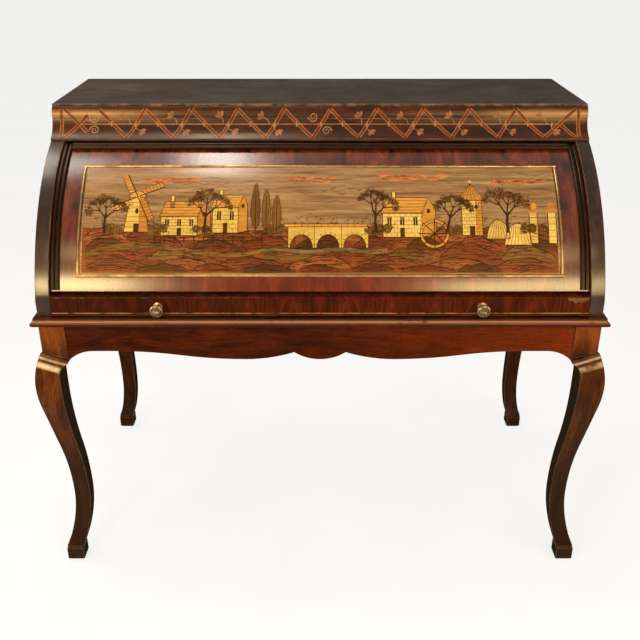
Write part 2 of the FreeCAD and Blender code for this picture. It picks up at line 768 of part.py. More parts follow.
def side_panel(label, sign):
    """Case side with its rounded front edge and the curved groove that the fall runs in."""
    body = new_body(label)
    outline = [
        ("side_front", "deck_top"),
        ("side_back", "deck_top"),
        ("side_back", "top_under"),
        ("frieze_back", "top_under"),
        ("frieze_back", "frieze_seat", "cylinder_radius", 1),
        ("side_front", "spring_level"),
    ]
    groove = [
        ("groove_in_low_y", "groove_in_low_z", "groove_in", -1),
        ("groove_in_high_y", "groove_in_high_z"),
        ("groove_out_high_y", "groove_out_high_z", "groove_out", 1),
        ("groove_out_low_y", "groove_out_low_z"),
    ]
    pad(body, new_sketch(body, "YZ_Plane", [outline]), "side_thick")
    if sign > 0:
        pocket(body, new_sketch(body, "YZ_Plane", [groove]), "groove_depth", back=True)
        place(body, x="side_in")
    else:
        pocket(body, new_sketch(body, "YZ_Plane", [groove], offset="side_thick"), "groove_depth")
        place(body, x="-side_out")
    return body


def top_board(label):
    body = new_body(label)
    section = [
        ("frieze_top_y", "frieze_top"),
        ("frieze_back", "frieze_top"),
        ("frieze_back", "top_under"),
        ("top_back", "top_under"),
        ("top_back", "case_top"),
        ("frieze_top_y", "case_top"),
    ]
    pad(body, new_sketch(body, "YZ_Plane", [section]), "case_width", both_ways=True)
    return body


def frieze(label):
    """Ogee frieze: swelling above, hollow below, its underside bedded on the sides' arc."""
    body = new_body(label)
    section = [
        ("frieze_top_y", "frieze_top", "frieze_swell_radius", 1),
        ("frieze_waist_y", "frieze_waist_z", "frieze_hollow_radius", -1),
        ("frieze_lip_y", "frieze_lip_high"),
        ("frieze_lip_y", "frieze_lip_low", "cylinder_radius", -1),
        ("frieze_back", "frieze_seat"),
        ("frieze_back", "frieze_top"),
    ]
    pad(body, new_sketch(body, "YZ_Plane", [section]), "case_width", both_ways=True)
    return body


def on_axis(body, angle):
    """Turn a body about the cylinder's axis so that its own up points at the given angle."""
    place(body, y="axis_y", z="axis_z", axis="1;0;0", angle=f"90 - {angle}")


def guide_bead(label, sign):
    """Double bead on the side, over the fall's running edge."""
    body = new_body(label)
    section = [
        ("guide_in", "guide_foot"),
        ("side_in", "guide_foot"),
        ("side_in", "guide_shoulder", "guide_radius", 1),
        ("guide_valley", "guide_shoulder", "guide_radius", 1),
        ("guide_in", "guide_shoulder"),
    ]
    if sign < 0:
        section = flip(section)
    revolve(body, new_sketch(body, "XZ_Plane", [section]), "guide_high_angle - guide_low_angle")
    on_axis(body, "guide_middle_angle")
    return body


def curved_sheet(label, half, inner, outer, sweep, middle):
    body = new_body(label)
    section = [("-" + half, inner), (half, inner), (half, outer), ("-" + half, outer)]
    revolve(body, new_sketch(body, "XZ_Plane", [section]), sweep)
    on_axis(body, middle)
    return body


def curved_bead(label, sign):
    body = new_body(label)
    section = [
        ("bead_side_in", "fall_out"),
        ("bead_side_out", "fall_out", "bead_radius", 1),
    ]
    if sign < 0:
        section = flip(section)
    revolve(body, new_sketch(body, "XZ_Plane", [section]), "bead_sweep_angle")
    on_axis(body, "bead_middle_angle")
    return body


def straight_bead(label, angle):
    body = new_body(label)
    section = [
        ("-bead_edge", "fall_out"),
        ("bead_edge", "fall_out", "bead_radius", 1),
    ]
    pad(body, new_sketch(body, "YZ_Plane", [section]), "2 * bead_side_out", both_ways=True)
    on_axis(body, angle)
    return body


def slot_loop(half, low, high):
    """Upright slot with round ends."""
    return [
        ("-" + half, low, "half", 1),
        (half, low),
        (half, high, "half", 1),
        ("-" + half, high),
    ]


def fall_link(label, sign):
    """Slotted iron plate under the fall's upper edge, which the lever's upper pin pushes."""
    body = new_body(label)
    outline = [
        ("-fall_link_tip", "fall_link_low", "half", 1),
        ("fall_link_tip", "fall_link_low"),
        ("fall_link_half", "fall_link_top", "fall_in", 1),
        ("-fall_link_half", "fall_link_top"),
    ]
    slot = slot_loop("fall_slot_half", "fall_slot_low", "fall_slot_high")
    pad(body, new_sketch(body, "YZ_Plane", [outline, slot]), "link_thick")
    start = "slide_half" if sign > 0 else "-link_out"
    place(body, start, "axis_y", "axis_z", "1;0;0", "90 - fall_link_angle")
    return body


def slide_link(label, sign):
    """Slotted iron plate on the slide's edge, which carries the lever's lower pin along."""
    body = new_body(label)
    outline = [
        ("-slide_link_half", "slide_link_low"),
        ("slide_link_half", "slide_link_low"),
        ("slide_link_half", "slide_top"),
        ("slide_link_round", "slide_link_high"),
        ("-slide_link_round", "slide_link_high"),
        ("-slide_link_half", "slide_top"),
    ]
    slot = slot_loop("slide_slot_half", "slide_slot_low", "slide_slot_high")
    pad(body, new_sketch(body, "YZ_Plane", [outline, slot]), "link_thick")
    place(body, "slide_half" if sign > 0 else "-link_out", "slide_link_y")
    return body


def lever(label, sign):
    """Rocking lever: pulled forward below by the slide, it thrusts the fall back above."""
    body = new_body(label)
    outline = [
        ("lower_right_y", "lower_right_z"),
        ("lever_hub", "0"),
        ("lever_tip", "upper_arm", "half", 1),
        ("-lever_tip", "upper_arm"),
        ("-lever_hub", "0"),
        ("lower_left_y", "lower_left_z", "half", 1),
    ]
    strap = new_sketch(body, "YZ_Plane", [outline], [("0", "0", "pivot_bore")])
    pad(body, strap, "lever_thick", back=sign < 0)
    pins = new_sketch(body, "YZ_Plane", [], [
        ("0", "upper_arm", "pin_radius"),
        ("lower_pin_y", "lower_pin_z", "pin_radius"),
    ])
    pad(body, pins, "pin_length", back=sign > 0)
    place(body, "lever_in" if sign > 0 else "-lever_in", "pivot_y", "pivot_z", "1;0;0", "closed_lean_angle")
    return body


def lever_pivot(label, sign):
    body = new_body(label)
    section = [
        ("pivot_end_x", "0"),
        ("side_in", "0"),
        ("side_in", "pivot_flange"),
        ("pivot_flange_x", "pivot_flange"),
        ("pivot_flange_x", "pivot_radius"),
        ("pivot_head_x", "pivot_radius"),
        ("pivot_head_x", "pivot_head"),
        ("pivot_end_x", "pivot_head"),
    ]
    if sign < 0:
        section = flip(section)
    revolve(body, new_sketch(body, "XZ_Plane", [section]), "360")
    place(body, y="pivot_y", z="pivot_z")
    return body


def slide_board(label):
    body = new_body(label)
    outline = [
        ("-slide_half", "rail_back"),
        ("slide_half", "rail_back"),
        ("slide_half", "slide_back"),
        ("-slide_half", "slide_back"),
    ]
    bed = [
        ("-leather_half", "leather_y"),
        ("leather_half", "leather_y"),
        ("leather_half", "leather_back"),
        ("-leather_half", "leather_back"),
    ]
    pad(body, new_sketch(body, "XY_Plane", [outline], offset="slide_low"), "slide_thick")
    pocket(body, new_sketch(body, "XY_Plane", [bed], offset="slide_top"), "leather_sink")
    return body


def slide_front(label):
    body = new_body(label)
    section = [
        ("rail_back", "rail_bottom"),
        ("rail_back", "rail_top"),
        ("rail_round_y", "rail_top", "rail_round", 1),
        ("side_front", "rail_round_high"),
        ("side_front", "rail_round_low", "rail_round", 1),
        ("rail_round_y", "rail_bottom"),
    ]
    pad(body, new_sketch(body, "YZ_Plane", [section]), "2 * rail_half", both_ways=True)
    return body


def knob(label, prefix, x, y, z):
    """Turned brass knob: rose, neck, flared rim, ringed face and a hollow centre."""
    body = new_body(label)
    profile = [("0", "0")]
    for step, share, size, part in KNOB_STEPS:
        profile.append((f"{prefix}knob_{step}_out", f"{prefix}knob_{step}_radius"))
    steps = [step[0] for step in KNOB_STEPS]
    throat = 1 + steps.index("throat")
    brink = 1 + steps.index("brink")
    profile[throat] += (prefix + "knob_bell", -1)
    profile[brink] += (prefix + "knob_hollow", -1)
    sketch = new_sketch(body, "YZ_Plane", [profile])
    revolve(body, sketch, "360")
    place(body, x, y, z)
    return body


def drawer_box(label, x):
    outer = board(label + "_block", f"{x} - drawer_width / 2", "drawer_box_y", "shelf_top",
                  "drawer_width", "drawer_depth", "drawer_tall")
    inner = board(label + "_hollow", f"{x} - drawer_width / 2 + drawer_wall", "drawer_box_y + drawer_wall",
                  "shelf_top + drawer_floor", "drawer_width - 2 * drawer_wall",
                  "drawer_depth - 2 * drawer_wall", "drawer_tall")
    item = DOC.addObject("Part::Cut", label)
    item.Label = label
    item.Base = outer
    item.Tool = inner
    return item


def drawer(number, x):
    name = f"drawer_{number}"
    front = board(name + "_front", f"{x} - drawer_width / 2", "nest_front", "shelf_top + drawer_gap",
                  "drawer_width", "drawer_front_thick", "drawer_tall")
    pull = knob(name + "_knob", "small_", x, "nest_front", "drawer_knob_z")
    return [drawer_box(name + "_box", x), front, pull]


def nest():
    """Pigeonholes over a row of small drawers, on a shelf behind the writing slide."""
    shelf = new_body("interior_shelf")
    outline = [
        ("-shelf_half", "shelf_front"),
        ("shelf_half", "shelf_front"),
        ("shelf_half", "shelf_wide"),
        ("side_in", "shelf_wide"),
        ("side_in", "back_face"),
        ("-side_in", "back_face"),
        ("-side_in", "shelf_wide"),
        ("-shelf_half", "shelf_wide"),
    ]
    pad(shelf, new_sketch(shelf, "XY_Plane", [outline], offset="shelf_low"), "shelf_thick")
    end_height = "nest_height - nest_thick"
    pieces = [
        shelf,
        board("nest_end_left", "-nest_half", "nest_front", "shelf_top",
              "nest_thick", "nest_depth", end_height),
        board("nest_end_right", "nest_in", "nest_front", "shelf_top", "nest_thick", "nest_depth", end_height),
        board("nest_top_board", "-nest_half", "nest_front", "hole_high",
              "2 * nest_half", "nest_depth", "nest_thick"),
        board("nest_rail", "-nest_in", "nest_front", "rail_level",
              "2 * nest_in", "nest_depth", "nest_divider"),
    ]
    uprights = []
    for k in range(-2, 3):
        x = f"{k} * hole_step - nest_divider / 2"
        uprights.append(board(f"upright_{k + 3}", x, "nest_front", "hole_low",
                              "nest_divider", "nest_depth", "hole_high - hole_low"))
    pieces.append(group("pigeonhole_dividers", uprights))
    stops = []
    for k, side in ((1, "-"), (2, "")):
        x = f"{side}drawer_step / 2 - nest_divider / 2"
        stops.append(board(f"parting_{k}", x, "nest_front", "shelf_top",
                           "nest_divider", "nest_depth", "drawer_height"))
    pieces.append(group("drawer_dividers", stops))
    for number, x in ((1, "-drawer_step"), (2, "0"), (3, "drawer_step")):
        pieces.extend(drawer(number, x))
    return pieces


def stand():
    pieces = [
        leg("leg_front_left", "-post_x", "-post_y", "0"),
        leg("leg_front_right", "post_x", "-post_y", "90"),
        leg("leg_back_right", "post_x", "post_y", "180"),
        leg("leg_back_left", "-post_x", "post_y", "270"),
        front_apron("apron_front"),
        board("apron_back", "-apron_half", "back_apron_y", "arch_level",
              "2 * apron_half", "apron_thick", "arch_drop"),
        side_apron("apron_left", "-post_x + apron_set"),
        side_apron("apron_right", "side_apron_x"),
        board("deck_board", "-board_half", "board_front", "leg_height",
              "2 * board_half", "deck_back - board_front", "deck_thick"),
        front_moulding("deck_moulding_front"),
        side_moulding("deck_moulding_left", -1),
        side_moulding("deck_moulding_right", 1),
    ]
    return pieces


def case():
    run = "runner_back - runner_front"
    return [
        side_panel("side_left", -1),
        side_panel("side_right", 1),
        board("back_panel", "-side_in", "back_face", "deck_top",
              "2 * side_in", "back_thick", "top_under - deck_top"),
        top_board("top_board"),
        frieze("frieze"),
        guide_bead("guide_bead_left", -1),
        guide_bead("guide_bead_right", 1),
        board("runner_left", "-runner_out", "runner_front", "deck_top", "runner_width", run, "runner_rise"),
        board("runner_right", "runner_in", "runner_front", "deck_top", "runner_width", run, "runner_rise"),
        lever_pivot("lever_pivot_left", -1),
        lever_pivot("lever_pivot_right", 1),
    ]


def fall():
    return [
        curved_sheet("fall_shell", "fall_half", "fall_in", "fall_out",
                     "fall_high_angle - fall_low_angle", "fall_middle_angle"),
        curved_sheet("fall_picture", "picture_half", "fall_out", "picture_top",
                     "picture_high_angle - picture_low_angle", "picture_middle_angle"),
        curved_bead("fall_bead_left", -1),
        curved_bead("fall_bead_right", 1),
        straight_bead("fall_bead_bottom", "bead_low_angle"),
        straight_bead("fall_bead_top", "bead_high_angle"),
        fall_link("fall_link_left", -1),
        fall_link("fall_link_right", 1),
    ]


def slide():
    return [
        slide_board("slide_board"),
        slide_front("slide_front"),
        board("slide_leather", "leather_gap - leather_half", "leather_y + leather_gap", "leather_bed",
              "2 * (leather_half - leather_gap)", "leather_depth - 2 * leather_gap", "leather_thick"),
        knob("slide_knob_left", "", "-knob_x", "side_front", "knob_z"),
        knob("slide_knob_right", "", "knob_x", "side_front", "knob_z"),
        slide_link("slide_link_left", -1),
        slide_link("slide_link_right", 1),
        lever("lever_left", -1),
        lever("lever_right", 1),
    ]


add_knob_sizes("")
add_knob_sizes("small_")
fill_sheets()
pieces = stand() + case() + fall() + slide() + nest()
DOC.recompute()

for item in DOC.Objects:
    if "Invalid" in item.State or "Error" in item.State:
        raise RuntimeError(f"{item.Label} did not build: {item.State}")
for piece in pieces:
    if piece.Shape.isNull() or not piece.Shape.isValid():
        raise RuntimeError(f"{piece.Label} has no valid solid")

os.makedirs("parts", exist_ok=True)
for piece in pieces:
    piece.Shape.exportStep(f"parts/{piece.Label}.step")
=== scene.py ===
import json
import random
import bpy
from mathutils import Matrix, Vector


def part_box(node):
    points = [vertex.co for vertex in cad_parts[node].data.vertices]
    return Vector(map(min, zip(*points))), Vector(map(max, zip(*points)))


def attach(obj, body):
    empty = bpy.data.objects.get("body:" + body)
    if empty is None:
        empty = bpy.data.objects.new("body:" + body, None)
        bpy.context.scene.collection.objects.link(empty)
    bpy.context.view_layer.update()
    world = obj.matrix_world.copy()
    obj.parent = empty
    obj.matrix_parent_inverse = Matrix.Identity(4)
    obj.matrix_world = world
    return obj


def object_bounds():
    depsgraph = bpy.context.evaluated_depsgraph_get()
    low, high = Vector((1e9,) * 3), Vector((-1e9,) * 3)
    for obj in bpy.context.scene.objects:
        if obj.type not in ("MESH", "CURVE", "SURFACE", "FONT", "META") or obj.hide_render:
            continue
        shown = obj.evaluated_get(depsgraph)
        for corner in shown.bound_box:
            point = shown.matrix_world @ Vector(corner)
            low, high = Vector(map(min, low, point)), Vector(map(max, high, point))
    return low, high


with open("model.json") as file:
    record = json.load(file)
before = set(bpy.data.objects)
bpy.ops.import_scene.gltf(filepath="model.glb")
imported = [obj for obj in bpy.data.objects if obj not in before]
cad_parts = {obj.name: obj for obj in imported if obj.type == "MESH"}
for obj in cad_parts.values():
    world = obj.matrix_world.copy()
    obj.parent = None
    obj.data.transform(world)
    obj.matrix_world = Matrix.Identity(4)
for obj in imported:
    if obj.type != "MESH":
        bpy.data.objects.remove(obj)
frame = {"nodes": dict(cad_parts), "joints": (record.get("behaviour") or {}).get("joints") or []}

from fnmatch import fnmatch
from math import atan2, cos, hypot, pi, radians, sin

import bmesh
import bpy
from mathutils import Vector

CAD_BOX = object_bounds()
NODES = frame["nodes"]
MM = 0.001
AXES = "XYZ"

# The fall's cylinder: its axis and the radius of the picture's face

AXIS = Vector(next(joint["pos_m"] for joint in frame["joints"] if joint["name"] == "fall_turn"))
FACE = max(hypot(v.co.y - AXIS.y, v.co.z - AXIS.z) for v in NODES["fall_picture"].data.vertices)


def on_cylinder(x, angle, radius):
    return Vector((x, AXIS.y - radius * cos(angle), AXIS.z + radius * sin(angle)))


# Colours and node trees

SHELLAC = (1.0, 0.58, 0.32, 1.0)
COAT_ROUGHNESS = 0.2


def tone(red, green, blue):
    """Screen colour from 0 to 255 as the linear colour that a shader takes."""
    linear = []
    for part in (red, green, blue):
        part /= 255
        linear.append(part / 12.92 if part <= 0.04045 else ((part + 0.055) / 1.055) ** 2.4)
    return (*linear, 1.0)


def grey(level):
    return (level, level, level, 1.0)


class Shade:
    """A material or world and short ways to add nodes to it."""

    def __init__(self, owner):
        owner.use_nodes = True
        self.owner = owner
        self.tree = owner.node_tree
        self.surface = self.tree.nodes.get("Principled BSDF")

    def put(self, socket, value):
        if isinstance(value, bpy.types.NodeSocket):
            self.tree.links.new(value, socket)
        else:
            socket.default_value = value

    def node(self, kind, inputs=None, **settings):
        made = self.tree.nodes.new("ShaderNode" + kind)
        for key, value in settings.items():
            setattr(made, key, value)
        for key, value in (inputs or {}).items():
            self.put(made.inputs[key], value)
        return made

    def math(self, operation, first, second=0.0):
        return self.node("Math", {0: first, 1: second}, operation=operation).outputs[0]

    def stretch(self, vector, grain, squeeze):
        """Point drawn out along the grain, so that a texture laid on it runs in fibres."""
        factors = tuple(1.0 if axis == grain else squeeze for axis in AXES)
        return self.node("VectorMath", {0: vector, 1: factors}, operation="MULTIPLY").outputs[0]

    def parts(self, vector):
        return self.node("SeparateXYZ", {0: vector}).outputs

    def mix(self, share, first, second, blend="MIX"):
        inputs = {0: share, 6: first, 7: second}
        return self.node("Mix", inputs, data_type="RGBA", blend_type=blend).outputs[2]

    def spread(self, value, low, high, to_low=0.0, to_high=1.0):
        inputs = {0: value, 1: low, 2: high, 3: to_low, 4: to_high}
        return self.node("MapRange", inputs).outputs[0]

    def ramp(self, value, *stops):
        made = self.node("ValToRGB", {0: value})
        points = made.color_ramp.elements
        while len(points) < len(stops):
            points.new(0.5)
        for point, (position, colour) in zip(points, stops):
            point.position = position
            point.color = colour
        return made.outputs[0]

    def darken(self, colour, share, value, dark, low, high):
        """Colour times a grey that goes from dark to white while the value goes from low to high."""
        veil = self.ramp(value, (low, grey(dark)), (high, grey(1.0)))
        return self.mix(share, colour, veil, "MULTIPLY")

    def noise(self, vector, scale, detail=4.0, roughness=0.55, distortion=0.0):
        inputs = {"Vector": vector, "Scale": scale, "Detail": detail, "Roughness": roughness,
                  "Distortion": distortion}
        return self.node("TexNoise", inputs).outputs[0]

    def place(self, rolled=False):
        """Point in metres; rolled gives width, radius and arc length about the cylinder's axis."""
        point = self.node("TexCoord").outputs["Object"]
        if not rolled:
            return point
        across, depth, height = self.parts(point)
        ahead = self.math("SUBTRACT", AXIS.y, depth)
        above = self.math("SUBTRACT", height, AXIS.z)
        arc = self.math("MULTIPLY", self.math("ARCTAN2", above, ahead), FACE)
        square = self.math("ADD", self.math("MULTIPLY", ahead, ahead), self.math("MULTIPLY", above, above))
        radius = self.math("SQRT", square)
        return self.node("CombineXYZ", {0: across, 1: radius, 2: arc}).outputs[0]

    def at(self, axis):
        """Place along one axis of the desk."""
        return self.parts(self.place())[AXES.index(axis)]

    def facing(self, axis):
        """How far the surface is turned towards one axis of the desk."""
        return self.parts(self.node("TexCoord").outputs["Normal"])[AXES.index(axis)]

    def bump(self, height, strength, distance):
        made = self.node("Bump", {"Height": height, "Strength": strength, "Distance": distance})
        self.put(self.surface.inputs["Normal"], made.outputs[0])

    def finish(self, colour, roughness, specular=0.5, metallic=0.0, coat=0.0, tint=grey(1.0)):
        values = {"Base Color": colour, "Roughness": roughness, "Specular IOR Level": specular,
                  "Specular Tint": tint, "Metallic": metallic, "Coat Weight": coat,
                  "Coat Roughness": COAT_ROUGHNESS}
        for key, value in values.items():
            self.put(self.surface.inputs[key], value)
        return self.owner


def blank(name):
    return Shade(bpy.data.materials.new(name))


# Materials

def wood(name, tones, grain="X", rolled=False, size=1.0, rough=0.34, specular=0.3, coat=0.0, leaf=0.0,
         fade=None, inner=None, tint=SHELLAC, wear_and_sheen=None):
    """Polished wood: broad figure, fibres and pores along the grain, old uneven polish, a fade one way.

    inner is the colour of faces turned to the desk's middle: painted shade, where these faces also lose their
    specular reflection.
    The wear function adds marks to the colour: rubbed places, and painted highlights on the front knees, the
    frieze's ends and the moulding's crest.
    """
    dark, middle, light = (tone(*part) for part in tones)
    shade = blank(name)
    place = shade.place(rolled)
    if leaf:
        across, depth, height = shade.parts(place)
        folded = shade.math("PINGPONG", across, leaf)
        place = shade.node("CombineXYZ", {0: folded, 1: depth, 2: height}).outputs[0]
    fine = shade.stretch(place, grain, 15.0)
    broad = shade.stretch(place, grain, 3.6)
    figure = shade.noise(broad, 5.5 * size, 5.0, 0.62, 1.4)
    fibre = shade.noise(fine, 24.0 * size, 6.0, 0.68, 0.3)
    pores = shade.noise(fine, 95.0 * size, 2.0, 0.5)
    polish = shade.noise(place, 7.0, 5.0, 0.65, 0.4)
    colour = shade.ramp(figure, (0.30, dark), (0.50, middle), (0.72, light))
    if fade:
        axis, start, end, end_tone, most = fade
        colour = shade.mix(shade.spread(shade.at(axis), start, end, 0.0, most), colour, end_tone)
    colour = shade.darken(colour, 0.85, fibre, 0.42, 0.34, 0.60)
    colour = shade.darken(colour, 0.7, pores, 0.35, 0.36, 0.44)
    colour = shade.mix(shade.spread(polish, 0.5, 0.75, 0.0, 0.35), colour, dark)
    if wear_and_sheen:
        colour = wear_and_sheen(shade, colour)
    # Painted shade: faces turned to the desk's middle go darker and lose their specular reflection
    if inner:
        outward = shade.math("MULTIPLY", shade.facing("X"), shade.math("SIGN", shade.at("X")))
        inner_shade_share = shade.spread(outward, -0.25, -0.6)
        colour = shade.mix(inner_shade_share, colour, inner)
        specular = shade.spread(inner_shade_share, 0.0, 1.0, specular, 0.0)
    roughness = shade.spread(polish, 0.3, 0.75, rough - 0.07, rough + 0.14)
    shade.bump(fibre, 0.10, 0.0007)
    return shade.finish(colour, roughness, specular, coat=coat, tint=tint)


def streak(shade, level, middle, half, whole):
    """Band about a middle level, broken up along its length where the noise is under whole."""
    away = shade.math("ABSOLUTE", shade.math("SUBTRACT", level, middle))
    patch = shade.spread(shade.noise(shade.place(), 26.0, 4.0, 0.6), whole, whole + 0.2)
    return shade.math("MULTIPLY", shade.spread(away, half * 0.3, half, 1.0, 0.0), patch)


def knee_highlight_and_post(shade, colour):
    """Painted highlight: pale streaks along the slanting ledge of a front knee's shoulder, on front faces and
    fainter on the right knee; and a lighter post above it.
    """
    ledge_slope, whole = 0.29, 0.34
    shoulder, ledge = (0.578, 0.009), (0.595, 0.004)
    across, _, height = shade.parts(shade.place())
    inward = shade.math("SUBTRACT", CAD_BOX[1][0], shade.math("ABSOLUTE", across))
    level = shade.math("ADD", height, shade.math("MULTIPLY", inward, ledge_slope))
    # Painted highlight: two pale streaks where the rounded shoulder would catch the light
    bare_and_sheen = shade.math("MAXIMUM", streak(shade, level, *shoulder, whole), streak(shade, level, *ledge, whole))
    bare_and_sheen = shade.math("MULTIPLY", bare_and_sheen, shade.spread(shade.facing("Y"), -0.5, -0.8, 0.0, 0.85))
    bare_and_sheen = shade.math("MULTIPLY", bare_and_sheen, shade.spread(across, 0.0, 0.1, 1.0, 0.55))
    post = shade.spread(height, 0.60, 0.64, 0.0, 0.21)
    colour = shade.mix(post, colour, tone(176, 92, 32))
    return shade.mix(bare_and_sheen, colour, tone(214, 196, 170))


def pale_lines(level, whole, share, *lines):
    """Paler lines along a level, each with its half width and tone."""
    def wear_and_sheen(shade, colour):
        height = shade.at("Z")
        for half, rubbed in lines:
            bare_and_sheen = shade.math("MULTIPLY", streak(shade, height, level, half, whole), share)
            colour = shade.mix(bare_and_sheen, colour, tone(*rubbed))
        return colour
    return wear_and_sheen


def frieze_end_highlight(shade, colour):
    """Painted highlight: golden patches on the swell at the frieze's ends."""
    low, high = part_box("frieze")
    across, _, height = shade.parts(shade.place())
    tall = high.z - low.z
    ends = shade.spread(shade.math("ABSOLUTE", across), 0.36, 0.5, 0.0, 0.42)
    bare_and_sheen = shade.math("MULTIPLY", streak(shade, height, high.z - 0.26 * tall, 0.2 * tall, 0.15), ends)
    return shade.mix(bare_and_sheen, colour, tone(196, 150, 88))


def flank_tone(shade, colour):
    """Redder brown on the flat outer face of a side."""
    flat = shade.spread(shade.math("ABSOLUTE", shade.facing("X")), 0.8, 0.96, 0.0, 0.55)
    return shade.mix(flat, colour, tone(112, 52, 27))


def foot_wear(shade, colour):
    """Red wood where the polish at the middle of the fall's lower edge is rubbed thin."""
    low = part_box("fall_shell")[0]
    across, _, height = shade.parts(shade.place())
    middle = shade.spread(shade.math("ABSOLUTE", across), 0.12, 0.42, 0.2, 0.0)
    bare_and_sheen = shade.math("MULTIPLY", middle, shade.spread(height, low.z + 0.05, low.z + 0.14, 1.0, 0.0))
    return shade.mix(bare_and_sheen, colour, tone(142, 36, 6))


def worn_edge(name, bare, stained):
    """Rubbed arris where the polish has gone and the pale wood shows in patches."""
    shade = blank(name)
    place = shade.place()
    patch = shade.noise(place, 22.0, 5.0, 0.7, 0.6)
    flecks = shade.noise(place, 140.0, 3.0, 0.6)
    colour = shade.ramp(patch, (0.44, stained), (0.62, bare))
    colour = shade.darken(colour, 0.5, flecks, 0.4, 0.35, 0.6)
    return shade.finish(colour, shade.spread(patch, 0.3, 0.7, 0.32, 0.55), 0.4)


def veneer(name, dark, light, rolled=False, grain="X"):
    """Inlaid veneer: each leaf has its own tone, with streaks along its grain."""
    dark, light = tone(*dark), tone(*light)
    shade = blank(name)
    place = shade.place(rolled)
    fibre = shade.noise(shade.stretch(place, grain, 11.0), 34.0, 5.0, 0.66, 0.8)
    stain = shade.noise(place, 18.0, 4.0, 0.6)
    own = shade.node("NewGeometry").outputs["Random Per Island"]
    leaf = shade.spread(own, 0.0, 1.0, -0.18, 0.3)
    share = shade.math("ADD", shade.spread(fibre, 0.34, 0.68, 0.0, 0.7), leaf)
    colour = shade.mix(share, dark, light)
    colour = shade.mix(shade.spread(stain, 0.48, 0.72, 0.0, 0.5), colour, dark)
    shade.bump(fibre, 0.08, 0.0004)
    return shade.finish(colour, shade.spread(stain, 0.3, 0.7, 0.24, 0.42), 0.2, tint=SHELLAC)


def sky_veneer(name):
    """Ground veneer of the picture: warm brown with long level streaks and an old yellowed polish."""
    shade = blank(name)
    place = shade.place(rolled=True)
    fine = shade.stretch(place, "X", 20.0)
    fibre = shade.noise(fine, 7.0, 6.0, 0.62, 0.6)
    band = shade.noise(shade.stretch(place, "X", 7.0), 2.6, 4.0, 0.55, 1.0)
    hair = shade.noise(fine, 46.0, 3.0, 0.6)
    stops = ((0.30, tone(90, 62, 32)), (0.50, tone(134, 102, 62)), (0.70, tone(158, 128, 86)))
    colour = shade.ramp(fibre, *stops)
    colour = shade.mix(shade.spread(band, 0.45, 0.75, 0.0, 0.5), colour, tone(124, 74, 34))
    colour = shade.darken(colour, 0.6, hair, 0.5, 0.36, 0.52)
    shade.bump(hair, 0.08, 0.0004)
    return shade.finish(colour, shade.spread(band, 0.3, 0.7, 0.24, 0.38), 0.2, coat=0.8, tint=SHELLAC)


def brass(name, bright, tarnish, grime=60.0):
    """Aged brass: rubbed bright in places, brown and green where hands don't reach."""
    shade = blank(name)
    place = shade.place()
    patch = shade.noise(place, grime, 5.0, 0.65, 0.5)
    speck = shade.noise(place, 420.0, 3.0, 0.6)
    colour = shade.ramp(patch, (0.34, tarnish), (0.62, bright))
    colour = shade.darken(colour, 0.4, speck, 0.45, 0.34, 0.55)
    shade.bump(speck, 0.10, 0.0003)
    return shade.finish(colour, shade.spread(patch, 0.3, 0.7, 0.45, 0.25), 0.5, metallic=1.0)


def iron(name):
    """Forged and blackened iron with a trace of rust."""
    shade = blank(name)
    place = shade.place()
    scale = shade.noise(place, 90.0, 6.0, 0.7)
    rust = shade.noise(place, 28.0, 5.0, 0.65, 0.7)
    colour = shade.ramp(scale, (0.35, tone(34, 32, 31)), (0.7, tone(84, 80, 77)))
    colour = shade.mix(shade.spread(rust, 0.55, 0.75, 0.0, 0.7), colour, tone(92, 52, 30))
    shade.bump(scale, 0.25, 0.0005)
    return shade.finish(colour, shade.spread(scale, 0.3, 0.7, 0.62, 0.42), 0.5, metallic=0.8)


def leather(name):
    """Green writing leather: pebbled grain, rubbed lighter where arms rest."""
    shade = blank(name)
    place = shade.place()
    cells = shade.node("TexVoronoi", {"Vector": place, "Scale": 620.0}).outputs["Distance"]
    rubbed = shade.noise(place, 4.5, 5.0, 0.6, 0.8)
    colour = shade.ramp(rubbed, (0.35, tone(30, 44, 28)), (0.55, tone(44, 60, 36)), (0.75, tone(82, 84, 52)))
    colour = shade.darken(colour, 0.45, cells, 0.55, 0.1, 0.45)
    shade.bump(cells, 0.35, 0.0004)
    return shade.finish(colour, shade.spread(rubbed, 0.3, 0.7, 0.55, 0.38), 0.35)


